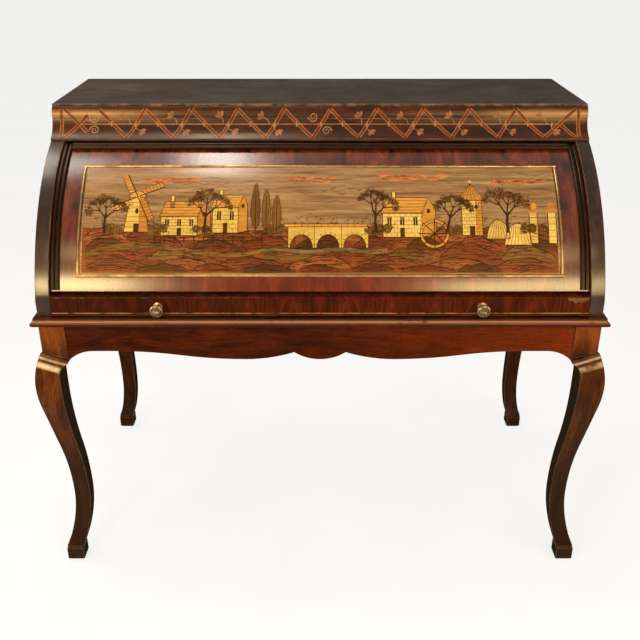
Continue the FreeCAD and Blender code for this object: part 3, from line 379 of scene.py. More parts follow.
def make_looks():
    nest = ((70, 32, 14), (112, 56, 26), (150, 86, 44))
    dark = ((26, 11, 6), (48, 21, 11), (78, 37, 19))
    # Painted shade for the legs' faces turned to the desk's middle
    inner_shade = tone(46, 36, 25)
    low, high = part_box("deck_moulding_front")
    crest = low.z + 0.66 * (high.z - low.z)
    # Painted highlight: a soft band and a pale line along the crest of the moulding's half-round
    crest_highlight = pale_lines(crest, 0.22, 0.5, (0.006, (134, 80, 52)), (0.0018, (196, 146, 116)))
    # A pale line along the lower edge of the slide's rail
    rail_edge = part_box("slide_front")[0].z + 0.002
    rail_pale_line = pale_lines(rail_edge, 0.36, 0.55, (0.0026, (206, 150, 114)))
    mahogany = {
        "top": dict(tones=((38, 28, 21), (58, 46, 37), (80, 66, 55)), rough=0.46, specular=0.15,
                    fade=("X", -0.5, 0.3, tone(45, 36, 28), 0.5)),
        "frieze": dict(tones=((26, 9, 4), (54, 18, 8), (84, 34, 16)), rough=0.30, specular=0.42,
                       tint=(1.0, 0.74, 0.52, 1.0), wear_and_sheen=frieze_end_highlight),
        "side": dict(tones=((22, 11, 8), (42, 22, 15), (66, 36, 24)), grain="Z", rough=0.28, specular=0.18,
                     coat=0.55, tint=(1.0, 0.80, 0.62, 1.0), wear_and_sheen=flank_tone),
        "fall": dict(tones=((42, 13, 6), (88, 32, 13), (130, 58, 27)), grain="Z", rolled=True, rough=0.26,
                     specular=0.1, coat=1.0, leaf=0.3, size=0.8, wear_and_sheen=foot_wear),
        "rail": dict(tones=((28, 9, 4), (70, 24, 9), (112, 44, 17)), grain="Z", rough=0.30, specular=0.1,
                     leaf=0.21, fade=("X", 0.1, -0.6, tone(35, 14, 7), 0.6), wear_and_sheen=rail_pale_line),
        "apron": dict(tones=((34, 12, 5), (60, 22, 9), (90, 36, 15)), rough=0.34, specular=0.06,
                      fade=("X", 0.0, 0.6, tone(136, 55, 20), 0.6)),
        # Leg wood: darker towards the feet, with painted shade on inner faces and a painted highlight on the
        # knees
        "leg": dict(tones=((38, 16, 5), (89, 42, 12), (140, 79, 28)), grain="Z", rough=0.26, specular=0.14,
                    inner=inner_shade, fade=("Z", 0.62, 0.26, tone(31, 20, 11), 0.9), wear_and_sheen=knee_highlight_and_post),
        # Painted shade: the back legs are a darker, duller copy of the legs' wood
        "back_leg": dict(tones=((26, 11, 4), (52, 24, 9), (78, 40, 16)), grain="Z", rough=0.32, specular=0.08,
                         inner=inner_shade),
        "moulding": dict(tones=dark, rough=0.24, specular=0.18, wear_and_sheen=crest_highlight),
        "side_moulding": dict(tones=dark, grain="Y", rough=0.24, specular=0.18, wear_and_sheen=crest_highlight),
        "guide": dict(tones=((12, 6, 4), (24, 12, 8), (40, 20, 12)), grain="Z", rough=0.3, specular=0.25,
                      rolled=True),
        "nest": dict(tones=nest, rough=0.34),
        "nest_upright": dict(tones=nest, grain="Y", rough=0.34),
        "drawer_front": dict(tones=((78, 32, 12), (128, 62, 26), (172, 100, 48)), grain="Z", rough=0.3,
                             leaf=0.12),
    }
    plain = ((84, 54, 30), (118, 80, 46), (150, 108, 66))
    pale = ((120, 84, 48), (158, 118, 72), (186, 148, 98))
    looks = {
        "plain": wood("plain_wood", plain, rough=0.5, specular=0.25),
        "drawer_wood": wood("drawer_wood", pale, "Y", rough=0.5, specular=0.25),
        "picture": sky_veneer("picture_ground"),
        "knob": brass("knob_brass", tone(150, 130, 92), tone(76, 66, 42)),
        "bead": brass("bead_brass", tone(196, 156, 98), tone(116, 86, 52), grime=18.0),
        "iron": iron("blackened_iron"),
        "leather": leather("writing_leather"),
        "edge": worn_edge("worn_edge", tone(186, 140, 104), tone(70, 34, 18)),
        "dark_edge": worn_edge("dark_edge", tone(112, 70, 44), tone(50, 25, 15)),
        "leg_edge": worn_edge("leg_edge", tone(92, 58, 30), tone(34, 18, 8)),
    }
    for kind, finish in mahogany.items():
        looks[kind] = wood(f"{kind}_mahogany", **finish)
    return looks


LOOKS = make_looks()


# CAD nodes: material, rubbed arrises and soft normals

def dress(node, look, edge=None, round_off=0.8, crease=34):
    thing = NODES[node]
    mesh = thing.data
    mesh.materials.clear()
    for kind in (look, edge or look):
        mesh.materials.append(LOOKS[kind])
    mesh.polygons.foreach_set("use_smooth", [True] * len(mesh.polygons))
    weld = thing.modifiers.new("weld", "WELD")
    weld.merge_threshold = 1e-5
    arris = thing.modifiers.new("arris", "BEVEL")
    arris.width = round_off * MM
    arris.segments = 2
    arris.limit_method = "ANGLE"
    arris.angle_limit = radians(crease)
    arris.material = 1
    soft = thing.modifiers.new("soft", "WEIGHTED_NORMAL")
    soft.weight = 50


# Nodes, look, look of the arris, its width in millimetres, angle that counts as an arris
DRESS = (
    ("top_board", "top", "edge", 1.2),
    ("frieze", "frieze", "dark_edge", 1.0, 20),
    ("side_*", "side", "dark_edge", 1.6),
    ("deck_moulding_front", "moulding", "edge", 2.0),
    ("deck_moulding_*", "side_moulding", "edge"),
    ("apron_back back_panel deck_board runner_*", "plain"),
    ("apron_*", "apron", "dark_edge", 1.2),
    ("guide_bead_*", "guide", "edge", 0.5),
    ("leg_front_*", "leg", "leg_edge", 2.2),
    ("leg_back_*", "back_leg", "leg_edge", 1.2),
    ("nest_end_* *_dividers", "nest_upright", "dark_edge"),
    ("nest_top_board", "nest", "dark_edge", 1.0),
    ("nest_rail interior_shelf slide_board", "nest", "dark_edge"),
    ("slide_front", "rail", "edge", 1.3),
    ("slide_leather", "leather", None, 0.2),
    ("fall_shell", "fall", "dark_edge", 1.0),
    ("fall_picture", "picture", None, 0.1),
    ("fall_bead_*", "bead", None, 0.1),
    ("*knob*", "knob", None, 0.35),
    ("drawer_?_box", "drawer_wood", None, 0.6),
    ("drawer_?_front", "drawer_front", "dark_edge"),
    ("lever_* *_link_*", "iron", None, 0.4),
)


def dress_nodes():
    for node in NODES:
        rules = (rule for rule in DRESS if any(fnmatch(node, name) for name in rule[0].split()))
        dress(node, *next(rules)[1:])


# Inlay: flat outlines in millimetres, laid on a curved face as thin leaves

def ribbon(points, width, end_width=None):
    """Quads along a line, tapering to end_width."""
    last = len(points) - 1
    end_width = width if end_width is None else end_width
    sides = []
    for i, (x, y) in enumerate(points):
        before = points[max(i - 1, 0)]
        after = points[min(i + 1, last)]
        dx, dy = after[0] - before[0], after[1] - before[1]
        length = hypot(dx, dy)
        half = (width + (end_width - width) * i / last) / 2
        nx, ny = -dy / length * half, dx / length * half
        sides.append(((x + nx, y + ny), (x - nx, y - ny)))
    return [(a[1], b[1], b[0], a[0]) for a, b in zip(sides, sides[1:])]


def oval(x, y, half_width, half_height, count, start=0.0, end=2 * pi):
    closed = abs(end - start - 2 * pi) < 1e-6
    steps = count if closed else count - 1
    turn = (end - start) / steps
    return [(x + half_width * cos(start + turn * i), y + half_height * sin(start + turn * i))
            for i in range(count)]


def block(x0, y0, x1, y1):
    return [(x0, y0), (x1, y0), (x1, y1), (x0, y1)]


def add_object(name, data):
    made = bpy.data.objects.new(name, data)
    bpy.context.scene.collection.objects.link(made)
    return made


def add_piece(name, mesh, look, body):
    data = bpy.data.meshes.new(name)
    mesh.to_mesh(data)
    mesh.free()
    data.materials.append(look)
    piece = add_object(name, data)
    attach(piece, body)


def lay(name, body, outlines, face, thick, look, levels=()):
    """Thin leaves cut to the outlines, folded at the levels, bent to the face and proud of it by thick."""
    mesh = bmesh.new()
    for outline in outlines:
        mesh.faces.new([mesh.verts.new((x, y, 0)) for x, y in outline])
    for level in levels:
        parts = mesh.verts[:] + mesh.edges[:] + mesh.faces[:]
        bmesh.ops.bisect_plane(mesh, geom=parts, plane_co=(0, level, 0), plane_no=(0, 1, 0))
    bmesh.ops.triangulate(mesh, faces=mesh.faces[:])
    for side in mesh.faces:
        side.normal_update()
        if side.normal.z < 0:
            side.normal_flip()
    raised = bmesh.ops.extrude_face_region(mesh, geom=mesh.faces[:])["geom"]
    for vert in (item for item in raised if isinstance(item, bmesh.types.BMVert)):
        vert.co.z = thick
    for vert in mesh.verts:
        vert.co = face(vert.co.x, vert.co.y, vert.co.z)
    add_piece(name, mesh, look, body)


# Thickness of the lowest leaf, rise of each leaf laid over it and of an engraved line, in millimetres
LEAF = 0.08
LEAF_STEP = 0.035
LINE_RISE = 0.015


class Inlay:
    """Outlines of one design, sorted by depth and by the veneer they are cut from."""

    def __init__(self):
        self.leaves = {}

    def add(self, depth, kind, *outlines):
        self.leaves.setdefault((depth, kind), []).extend(outlines)

    def line(self, depth, width, *points, kind="line"):
        self.add(depth, kind, *ribbon(points, width))

    def ring(self, depth, width, outline):
        self.line(depth, width, *outline, outline[0])

    def lay(self, name, body, face, looks, levels):
        for (depth, kind), outlines in sorted(self.leaves.items()):
            thick = LEAF + LEAF_STEP * depth + (LINE_RISE if kind == "line" else 0.0)
            lay(f"{name}_{depth}_{kind}", body, outlines, face, thick, looks[kind], levels)


# Picture panel: a country scene of mills, farms, a bridge and a tower under a streaked sky

PANEL_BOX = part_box("fall_picture")
PANEL_LOW = atan2(PANEL_BOX[0].z - AXIS.z, AXIS.y - PANEL_BOX[0].y)
PANEL_MARGIN = 3
PANEL_HALF = PANEL_BOX[1].x / MM - PANEL_MARGIN
PANEL_LEVELS = [7.0 * k for k in range(1, 38)]


def on_fall(x, y, lift):
    return on_cylinder(x * MM, PANEL_LOW + y * MM / FACE, FACE + lift * MM)


def ground(art, level, swell, waves, phase):
    """Band of earth across the panel with an engraved skyline."""
    crest = []
    for i in range(61):
        x = PANEL_HALF * (i / 30 - 1)
        wave = waves * x / PANEL_HALF
        crest.append((x, level + swell * (sin(wave + phase) + 0.45 * sin(2.7 * wave + 2 * phase))))
    for left, right in zip(crest, crest[1:]):
        art.add(0, "earth", [(left[0], PANEL_MARGIN), (right[0], PANEL_MARGIN), right, left])
    art.line(1, 1.4, *crest)


def mounds(art, depth, base, count, height, kinds, seed):
    """Row of low hummocks, each with its own veneer, an outline and engraved furrows."""
    chance = random.Random(seed)
    step = 2 * PANEL_HALF / count
    for k in range(count):
        half = step * chance.uniform(0.36, 0.49)
        x = -PANEL_HALF + step * (k + 0.5)
        tall = height * chance.uniform(0.7, 1.3)
        lean = chance.uniform(-0.35, 0.35)
        crest = []
        for i in range(17):
            share = i / 8 - 1
            rise = (1 - share * share) * (1 + lean * share) + 0.08 * sin(9 * share + k)
            crest.append((x + half * share, base + tall * max(rise, 0.0)))
        foot = [(x - half, base - 8), (x + half, base - 8)]
        art.add(depth, kinds[(k * 3 + depth) % len(kinds)], [*foot, *crest[::-1]])
        art.line(depth, 2.1, *crest)
        for row in (0.3, 0.6, 0.85):
            cut = [(px + half * 0.1 * row, base - 6 + (py - base + 6) * row) for px, py in crest[3:14]]
            art.line(depth, chance.uniform(1.0, 1.8), *cut)


def path(art, depth, kind, points, width, end_width):
    art.add(depth, kind, *ribbon(points, width, end_width))
    last = len(points) - 1
    for side in (-1, 1):
        edge = []
        for i, (x, y) in enumerate(points):
            edge.append((x, y + side * (width + (end_width - width) * i / last) / 2))
        art.line(depth, 1.0, *edge)


def masonry(art, x0, x1, base, height, rows, step=13):
    """Courses of cut stone with staggered joints."""
    course = height / rows
    for k in range(rows):
        y = base + course * k
        if k:
            art.line(8, 0.7, (x0, y), (x1, y))
        joint = x0 + step * (1 if k % 2 else 0.5)
        while joint < x1 - 2:
            art.line(8, 0.6, (joint, y), (joint, y + course))
            joint += step


def house(art, x, base, width, height, roof, windows):
    """Gabled house seen from one corner: front and end walls, tiled roof, chimney, door and windows."""
    left, right = x - width / 2, x + width / 2
    side = width * 0.36
    eave = base + height
    lift = side * 0.22
    ridge = eave + roof
    front = block(left, base, right, eave)
    end = [(right, base), (right + side, base + lift), (right + side, eave + lift), (right + side / 2, ridge),
           (right, eave)]
    slope = [(left - 4, eave - 2), (right + 3, eave - 2), (right + side / 2, ridge),
             (left + side / 2 - 5, ridge)]
    stack = block(left + width * 0.25, eave + roof * 0.55, left + width * 0.25 + 8, ridge + 14)
    art.add(7, "wall", front)
    art.add(7, "shadow_wall", end)
    art.add(8, "roof", slope)
    art.add(8, "wall", stack)
    for outline in (front, end, slope, stack):
        art.ring(9, 1.5, outline)
    for k in range(1, 5):
        share = k / 5
        start = (left - 4 + (side / 2 - 1) * share, eave - 2 + (roof + 2) * share)
        finish = (right + 3 + (side / 2 - 3) * share, start[1])
        art.line(9, 0.9, start, finish)
    masonry(art, left, right, base, height, 6)
    strokes(art, 8, 18, (left + 2, base + 2, right - 10, eave - 3), (3, 9), "shadow_wall", int(width))
    sill, head = base + height * 0.48, base + height * 0.82
    for k in range(windows):
        mid = left + width * (k + 0.5) / windows
        art.add(9, "dark", block(mid - 4.5, sill, mid + 4.5, head))
        art.line(10, 1.0, (mid, sill), (mid, head), kind="wall")
    art.add(9, "dark", block(x - 5, base, x + 5, base + height * 0.38))
    art.add(9, "dark", oval(right + side / 2, eave + lift * 0.6, 4, 6, 12))


def slab(x, y, ux, uy, start, end, width):
    """Sail beside a spar that leaves the hub along ux, uy."""
    corners = ((start, 0), (end, 0), (end, width), (start, width))
    return [(x + ux * run - uy * off, y + uy * run + ux * off) for run, off in corners]


def windmill(art, x, base, height, sail):
    """Tower mill with a domed cap and four lattice sails."""
    body = [(x - 28, base), (x + 28, base), (x + 16, base + height), (x - 16, base + height)]
    shaded = [(x + 6, base), (x + 28, base), (x + 16, base + height), (x + 4, base + height)]
    cap = oval(x, base + height, 19, 17, 14, 0, pi)
    art.add(7, "wall", body)
    art.add(8, "shadow_wall", shaded)
    art.add(8, "roof", cap)
    for k in range(1, 7):
        half = 28 - 12 * k / 7
        course = base + height * k / 7
        art.line(9, 0.8, (x - half, course), (x + half, course))
    art.ring(9, 1.5, body)
    art.ring(9, 1.5, cap)
    art.add(9, "dark", block(x - 6, base, x + 6, base + 20), oval(x, base + height * 0.6, 4, 7, 12))
    hub = base + height + 2
    for k in range(4):
        turn = radians(24 + 90 * k)
        ux, uy = cos(turn), sin(turn)
        cloth = slab(x, hub, ux, uy, 16, sail, 14)
        art.add(10, "roof", cloth)
        art.ring(11, 1.1, cloth)
        art.line(11, 2.2, (x, hub), (x + ux * sail, hub + uy * sail))
        for run in range(24, int(sail), 8):
            near = (x + ux * run, hub + uy * run)
            art.line(11, 1.0, near, (near[0] - uy * 14, near[1] + ux * 14))
    art.add(11, "wall", oval(x, hub, 5, 5, 12))


def bridge(art, x, base, spans, span, rise):
    """Stone bridge: round arches, a low parapet and cut stones."""
    top = base + rise + 18
    for k in range(spans):
        left = x + k * (span + 10)
        right = left + span + 10
        centre = (left + right) / 2
        arch = oval(centre, base, span / 2, rise, 17, 0, pi)
        art.add(7, "wall", [(right, base), (right, top), (left, top), (left, base), *arch[::-1]])
        art.line(9, 1.5, *arch)
        for px, py in arch[1:16:2]:
            out = Vector((px - centre, py - base)).normalized() * 8
            art.line(9, 0.9, (px, py), (px + out.x, py + out.y))
        art.line(9, 1.0, (left, base), (left, top))
    end = x + spans * (span + 10)
    parapet = block(x - 8, top, end + 8, top + 7)
    art.add(8, "roof", parapet)
    art.ring(9, 1.4, parapet)
    for k in range(spans * 4 + 1):
        post = x + k * (span + 10) / 4
        art.line(9, 0.9, (post, top), (post, top + 7))


def tower(art, x, base, width, height, cap):
    """Round dovecote with a pointed tiled roof and a ball finial."""
    half = width / 2
    eave = base + height
    body = block(x - half, base, x + half, eave)
    cone = [(x - half - 7, eave - 2), (x + half + 7, eave - 2), (x, eave + cap)]
    art.add(7, "wall", body)
    art.add(8, "shadow_wall", block(x + half * 0.35, base, x + half, eave))
    art.add(9, "roof", cone)
    art.ring(9, 1.5, body)
    art.ring(10, 1.5, cone)
    masonry(art, x - half, x + half, base, height, 10, 11)
    strokes(art, 8, 16, (x - half + 2, base + 2, x - 2, eave - 4), (3, 9), "shadow_wall", int(height))
    for k in range(-2, 3):
        art.line(10, 0.8, (x + k * half * 0.45, eave), (x, eave + cap))
    for k in (-1, 1):
        art.add(9, "dark", oval(x + k * half * 0.45, base + height * 0.8, 4, 6, 12))
    art.add(9, "dark", block(x - 6, base, x + 6, base + 22))
    art.add(9, "wall", oval(x, eave + cap + 3, 4, 5, 12))


def haystack(art, x, base, half, height):
    dome = oval(x, base, half, height, 18, 0, pi)
    art.add(7, "wall", dome)
    art.ring(9, 1.5, dome)
    for k in range(-3, 4):
        art.line(9, 0.8, (x + half * k * 0.28, base), (x + half * k * 0.14, base + height * 0.86))


def wheel(art, x, y, radius):
    rim = oval(x, y, radius, radius, 28)
    art.add(10, "roof", *ribbon([*rim, rim[0]], 6))
    for shift in (-3, 3):
        art.ring(11, 1.2, oval(x, y, radius + shift, radius + shift, 28))
    for k in range(8):
        turn = pi * k / 4
        tip = (x + (radius + 6) * cos(turn), y + (radius + 6) * sin(turn))
        art.line(11, 2.2, (x, y), tip)


def curls(art, chance, x, y, spread, rise, count, depth=12, kind="line"):
    """Engraved leaves: short hooked strokes scattered about a spot."""
    for _ in range(count):
        spot = (x + chance.uniform(-spread, spread), y + chance.uniform(-rise, rise))
        start = chance.uniform(0, 6)
        hook = oval(*spot, chance.uniform(1.8, 3.8), chance.uniform(1.6, 3.0), 6, start, start + 4.2)
        art.line(depth, 0.9, *hook, kind=kind)


def branch(art, chance, x, y, lean, length, width, forks):
    """Limb that forks, with curled leaves at its tips."""
    bend = lean + chance.uniform(-0.25, 0.25)
    half = length / 2
    middle = (x + cos(lean) * half, y + sin(lean) * half)
    tip = (middle[0] + cos(bend) * half, middle[1] + sin(bend) * half)
    art.add(11, "trunk", *ribbon([(x, y), middle, tip], width, width * 0.6))
    if forks == 0:
        curls(art, chance, *tip, 9, 7, 4)
        art.add(10, "leaf", oval(*tip, chance.uniform(5, 8), chance.uniform(3, 5), 12))
        return
    for side in (-1, 0, 1):
        turn = bend + side * chance.uniform(0.45, 0.8)
        branch(art, chance, *tip, turn, length * chance.uniform(0.6, 0.75), width * 0.55, forks - 1)


def tree(art, x, base, height, lean, seed):
    branch(art, random.Random(seed), x, base, radians(90 + lean), height * 0.38, height * 0.075, 3)


def bush(art, x, base, half, height, seed):
    chance = random.Random(seed)
    for k in range(5):
        spot = (x + half * (k - 2) / 2.5, base + height * (0.45 if k % 2 else 0.3))
        art.add(6 + k % 2, "leaf", oval(*spot, half * 0.4, height * chance.uniform(0.35, 0.5), 16))
    curls(art, chance, x, base + height * 0.45, half, height * 0.45, 26)


def strokes(art, depth, count, box, run, kind, seed, width=0.8):
    """Engraved strokes scattered over part of the picture, each a shallow arc."""
    chance = random.Random(seed)
    for _ in range(count):
        x, y = chance.uniform(box[0], box[2]), chance.uniform(box[1], box[3])
        reach = chance.uniform(*run)
        sag = chance.uniform(-0.16, 0.16) * reach
        art.line(depth, width, (x, y), (x + reach / 2, y + sag), (x + reach, y), kind=kind)


def poplar(art, x, base, half, height, seed):
    chance = random.Random(seed)
    outline = []
    for i in range(30):
        turn = 2 * pi * i / 30
        taper = half * (1 - 0.35 * sin(turn)) * chance.uniform(0.85, 1.12)
        outline.append((x + taper * cos(turn), base + height * (0.55 + 0.45 * sin(turn))))
    art.add(10, "leaf", outline)
    art.ring(11, 1.2, outline)
    art.line(11, 1.6, (x, base - 2), (x, base + height * 0.85))


def cloud(art, x, y, width, seed):
    chance = random.Random(seed)
    puffs = 7
    for k in range(puffs):
        share = k / (puffs - 1) - 0.5
        size = width * chance.uniform(0.09, 0.14)
        spot = (x + share * width * 0.85, y + chance.uniform(-3, 6))
        art.add(1 + k % 2, "cloud", oval(*spot, size, size * 0.45, 18))
        start = chance.uniform(0.2, 1.2)
        art.line(3, 0.9, *oval(*spot, size * 0.8, size * 0.34, 9, start, start + 2.6))


def gate(art, x, base):
    """Two ball-topped piers with an iron gate between them."""
    for pier in (x - 21, x + 21):
        art.add(7, "wall", block(pier - 9, base, pier + 9, base + 74))
        art.add(8, "roof", block(pier - 12, base + 72, pier + 12, base + 80), oval(pier, base + 88, 9, 9, 14))
        art.ring(9, 1.5, block(pier - 9, base, pier + 9, base + 72))
        for k in range(1, 5):
            art.line(9, 0.8, (pier - 9, base + 15 * k), (pier + 9, base + 15 * k))
    for k in range(-2, 3):
        art.line(9, 1.4, (x + 4.6 * k, base + 2), (x + 4.6 * k, base + 48 - 3 * abs(k)))
    for rail in (14, 36):
        art.line(9, 1.4, (x - 12, base + rail), (x + 12, base + rail))


def fence(art, x, base, posts, step):
    for k in range(posts):
        art.line(9, 2.2, (x + step * k, base), (x + step * k, base + 18))
    for rail in (6, 14):
        art.line(9, 1.3, (x - 4, base + rail), (x + step * (posts - 1) + 4, base + rail))


def draw_picture():
    art = Inlay()
    earths = ("red", "olive", "orange", "umber", "red", "earth")
    ground(art, 104, 5, 4.0, 0.6)
    rows = ((2, 84, 11, 22), (3, 62, 9, 24), (4, 40, 8, 24), (5, 20, 7, 20), (6, 11, 9, 10))
    for depth, base, count, height in rows:
        mounds(art, depth, base, count, height, earths, 10 * depth)
    lane = [(-530 + 36 * i, 44 + 16 * sin(0.5 * i) + 1.6 * i) for i in range(14)]
    brook = [(-136 + 18 * i, 53 + 3 * sin(0.8 * i)) for i in range(17)]
    path(art, 5, "olive", lane, 17, 8)
    path(art, 6, "slate", brook, 8, 12)
    clouds = ((-345, 224, 130, 3), (-20, 228, 110, 5), (215, 234, 150, 8), (455, 222, 120, 11))
    for x, y, width, seed in clouds:
        cloud(art, x, y, width, seed)
        strokes(art, 3, 26, (x - width / 2, y - 5, x + width / 2 - 14, y + 6), (6, 20), "red", seed, 1.2)
    windmill(art, -415, 96, 84, 66)
    house(art, -318, 88, 82, 46, 36, 3)
    house(art, -214, 94, 58, 62, 30, 2)
    bridge(art, -72, 60, 3, 50, 30)
    house(art, 186, 84, 88, 58, 38, 3)
    wheel(art, 258, 92, 30)
    tower(art, 344, 88, 46, 86, 44)
    haystack(art, 402, 80, 26, 44)
    haystack(art, 446, 66, 30, 50)
    gate(art, 503, 70)
    fence(art, -372, 70, 12, 22)
    trees = ((-486, 92, 4, 21), (-262, 104, -6, 33), (128, 108, 10, 43), (286, 96, -12, 63),
             (424, 108, 4, 73))
    for x, height, lean, seed in trees:
        tree(art, x, 94, height, lean, seed)
    for k in range(3):
        poplar(art, -146 + 24 * k, 92, 10, 126 - 16 * k, 51 + k)
    for k in range(6):
        x, y = 10 + 20 * k, 196 + 9 * sin(2.3 * k)
        art.line(9, 1.2, (x - 6, y + 4), (x, y), (x + 6, y + 4))
    for k, x in enumerate((-468, -362, -268, -104, 118, 142, 300, 470)):
        bush(art, x, 92, 20 + 3 * (k % 3), 24 + 4 * (k % 2), 60 + k)
    chance = random.Random(94)
    for k in range(26):
        curls(art, chance, -505 + 40 * k, 116 + 8 * sin(1.7 * k), 24, 17, 16, 6, "umber")
    strokes(art, 1, 46, (-520, 128, 460, 252), (18, 70), "umber", 91)
    strokes(art, 6, 640, (-530, 6, 505, 98), (6, 26), "line", 92, 1.4)
    return art


def lay_picture():
    leaves = {
        "earth": ((84, 41, 21), (134, 75, 40)),
        "red": ((84, 37, 20), (136, 68, 37)),
        "orange": ((112, 59, 30), (161, 96, 52)),
        "olive": ((82, 56, 24), (132, 94, 46)),
        "umber": ((62, 33, 16), (105, 60, 30)),
        "slate": ((84, 66, 40), (128, 104, 64)),
        "cloud": ((148, 86, 50), (188, 124, 78)),
        "trunk": ((36, 20, 11), (70, 42, 24), "Z"),
        "leaf": ((82, 54, 24), (126, 86, 40), "Z"),
        "wall": ((168, 134, 56), (212, 186, 106)),
        "shadow_wall": ((138, 90, 32), (188, 136, 60)),
        "roof": ((150, 96, 38), (206, 152, 74)),
        "dark": ((48, 26, 13), (80, 46, 24)),
    }
    looks = {"line": veneer("engraved_line", (38, 20, 10), (62, 35, 18), True)}
    for kind, (dark, light, *grain) in leaves.items():
        looks[kind] = veneer(f"{kind}_veneer", dark, light, True, *grain)
    draw_picture().lay("picture", "fall", on_fall, looks, PANEL_LEVELS)


# Frieze: zigzag strips, a level vine with sprigs and banded ends

def frieze_profile():
    """Front line of the frieze from its top edge down to its lip."""
    low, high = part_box("frieze")
    points = NODES["frieze"].data.vertices
    spots = {(round(v.co.y, 5), round(v.co.z, 5)) for v in points if v.co.x > high.x - 1e-5}
    line = []
    for y, z in sorted(spots, key=lambda spot: (-spot[1], spot[0])):
        ahead = not line or (z < line[-1].z and y < min(point.y for point in line) + 0.001)
        if ahead and z > low.z + 0.004:
            line.append(Vector((0, y, z)))
    return line


PROFILE = frieze_profile()
PROFILE_RUN = [0.0]
for first, second in zip(PROFILE, PROFILE[1:]):
    PROFILE_RUN.append(PROFILE_RUN[-1] + (second - first).length)
FRIEZE_TALL = PROFILE_RUN[-1] / MM
FRIEZE_LEVELS = [FRIEZE_TALL - run / MM for run in PROFILE_RUN[1:-1]]


def on_frieze(x, y, lift):
    """y runs up from the lip, in millimetres of the frieze's own surface."""
    down = min(max(PROFILE_RUN[-1] - y * MM, 0.0), PROFILE_RUN[-1])
    k = next(i for i in range(1, len(PROFILE)) if down <= PROFILE_RUN[i] + 1e-7)
    share = (down - PROFILE_RUN[k - 1]) / (PROFILE_RUN[k] - PROFILE_RUN[k - 1])
    point = PROFILE[k - 1].lerp(PROFILE[k], share)
    along = (PROFILE[k] - PROFILE[k - 1]).normalized()
    point = point + Vector((0, along.z, -along.y)) * lift * MM
    return Vector((x * MM, point.y, point.z))


def strip(design, start, end):
    """Double strip with a dark string between its halves."""
    dx, dy = end[0] - start[0], end[1] - start[1]
    length = hypot(dx, dy)
    nx, ny = -dy / length, dx / length
    for shift in (-2.0, 2.0):
        line = [(start[0] + dx * k / 4 + nx * shift, start[1] + dy * k / 4 + ny * shift) for k in range(5)]
        design.add(1, "strip", *ribbon(line, 3.2))
    for shift, width, kind in ((-4.0, 0.8, "stem"), (0, 1.1, "string"), (4.0, 0.8, "stem")):
        edge = [(x + nx * shift, y + ny * shift) for x, y in (start, end)]
        design.add(2, kind, *ribbon(edge, width))


def sprig(design, x, y, reach_x, reach_y):
    """Curved stem with a three-petalled bud."""
    tip = (x + reach_x, y + reach_y)
    bend = (x + reach_x * 0.3, y + reach_y * 0.65)
    design.add(3, "stem", *ribbon([(x, y), bend, tip], 1.6, 1.2))
    lead = atan2(tip[1] - bend[1], tip[0] - bend[0])
    size = 15
    for swing in (-0.8, 0.0, 0.8):
        ux, uy = cos(lead + swing), sin(lead + swing)
        petal = []
        for along, across in ((0, 0), (0.35, 0.26), (0.75, 0.22), (1.0, 0), (0.75, -0.22), (0.35, -0.26)):
            px = tip[0] + size * (along * ux - across * uy)
            py = tip[1] + size * (along * uy + across * ux)
            petal.append((px, py))
        design.add(4, "bud", petal)


def scroll(design, x, y, size, side, rise):
    """Tendril curled up to a spiral, wound towards side and rise."""
    curl = []
    for i in range(23):
        shrink = size * (1 - i / 25)
        curl.append((x + side * shrink * cos(0.5 * i), y + rise * shrink * sin(0.5 * i)))
    design.add(3, "stem", *ribbon(curl, 2.4, 1.2))


def draw_frieze():
    design = Inlay()
    low, high = 6.0, FRIEZE_TALL - 8.0
    middle = (low + high) / 2
    period, fall_run, first = 110.0, 67.0, -458.0
    climb = period - fall_run
    for k in range(10):
        x = first + period * k
        strip(design, (x - fall_run, high), (x, low))
        if k < 9:
            strip(design, (x, low), (x + climb, high))
        if k != 4:
            sprig(design, x + 8, middle, -15 + 5 * (k % 3), 17)
            sprig(design, x + climb - 26, middle, 14 - 5 * (k % 2), -17)
        for spot in (-38, 20):
            design.add(3, "stem", *ribbon([(x + spot, middle - 6), (x + spot, middle + 6)], 2.6))
    last = first + 9 * period
    end, cross = 614.0, 572.0
    strip(design, (last, low), (end - 8, high))
    strip(design, (cross, middle), (end - 8, low))
    for tip in (low, high):
        strip(design, (8 - end, tip), (20 - cross, middle + (middle - tip) * 0.6))
    design.add(3, "stem", *ribbon([(-cross + 20 * k, middle) for k in range(58)], 1.7))
    for side in (-1, 1):
        strip(design, (side * end, low), (side * end, high))
        scroll(design, 36 - cross, middle + side * 15, 12, -1, -side)
        scroll(design, side * 16, middle - side * 17, 12, side, side)
    return design


def lay_frieze():
    looks = {
        "strip": veneer("strip_veneer", (84, 38, 20), (144, 76, 40), grain="Z"),
        "stem": veneer("stem_veneer", (128, 92, 64), (178, 138, 104)),
        "bud": veneer("bud_veneer", (112, 72, 50), (160, 112, 82)),
        "string": veneer("string_line", (34, 16, 8), (58, 28, 14)),
    }
    draw_frieze().lay("frieze_inlay", "case", on_frieze, looks, FRIEZE_LEVELS)


# Writing leather: two tooled lines near its edge

def lay_tooling():
    low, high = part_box("slide_leather")
    gilt = brass("gilt_tooling", tone(206, 166, 96), tone(130, 98, 50))

    def on_leather(x, y, lift):
        return Vector((x * MM, y * MM, high.z + lift * MM))

    outlines = []
    for inset, width in ((14, 2.4), (20, 1.0)):
        x = high.x / MM - inset
        corners = block(-x, low.y / MM + inset, x, high.y / MM - inset)
        for start, end in zip(corners, corners[1:] + corners[:1]):
            outlines.extend(ribbon([start, end], width))
    lay("leather_tooling", "slide", outlines, on_leather, 0.1, gilt)


# Head of the opening: a double bead under the frieze, like the guide beads at the sides

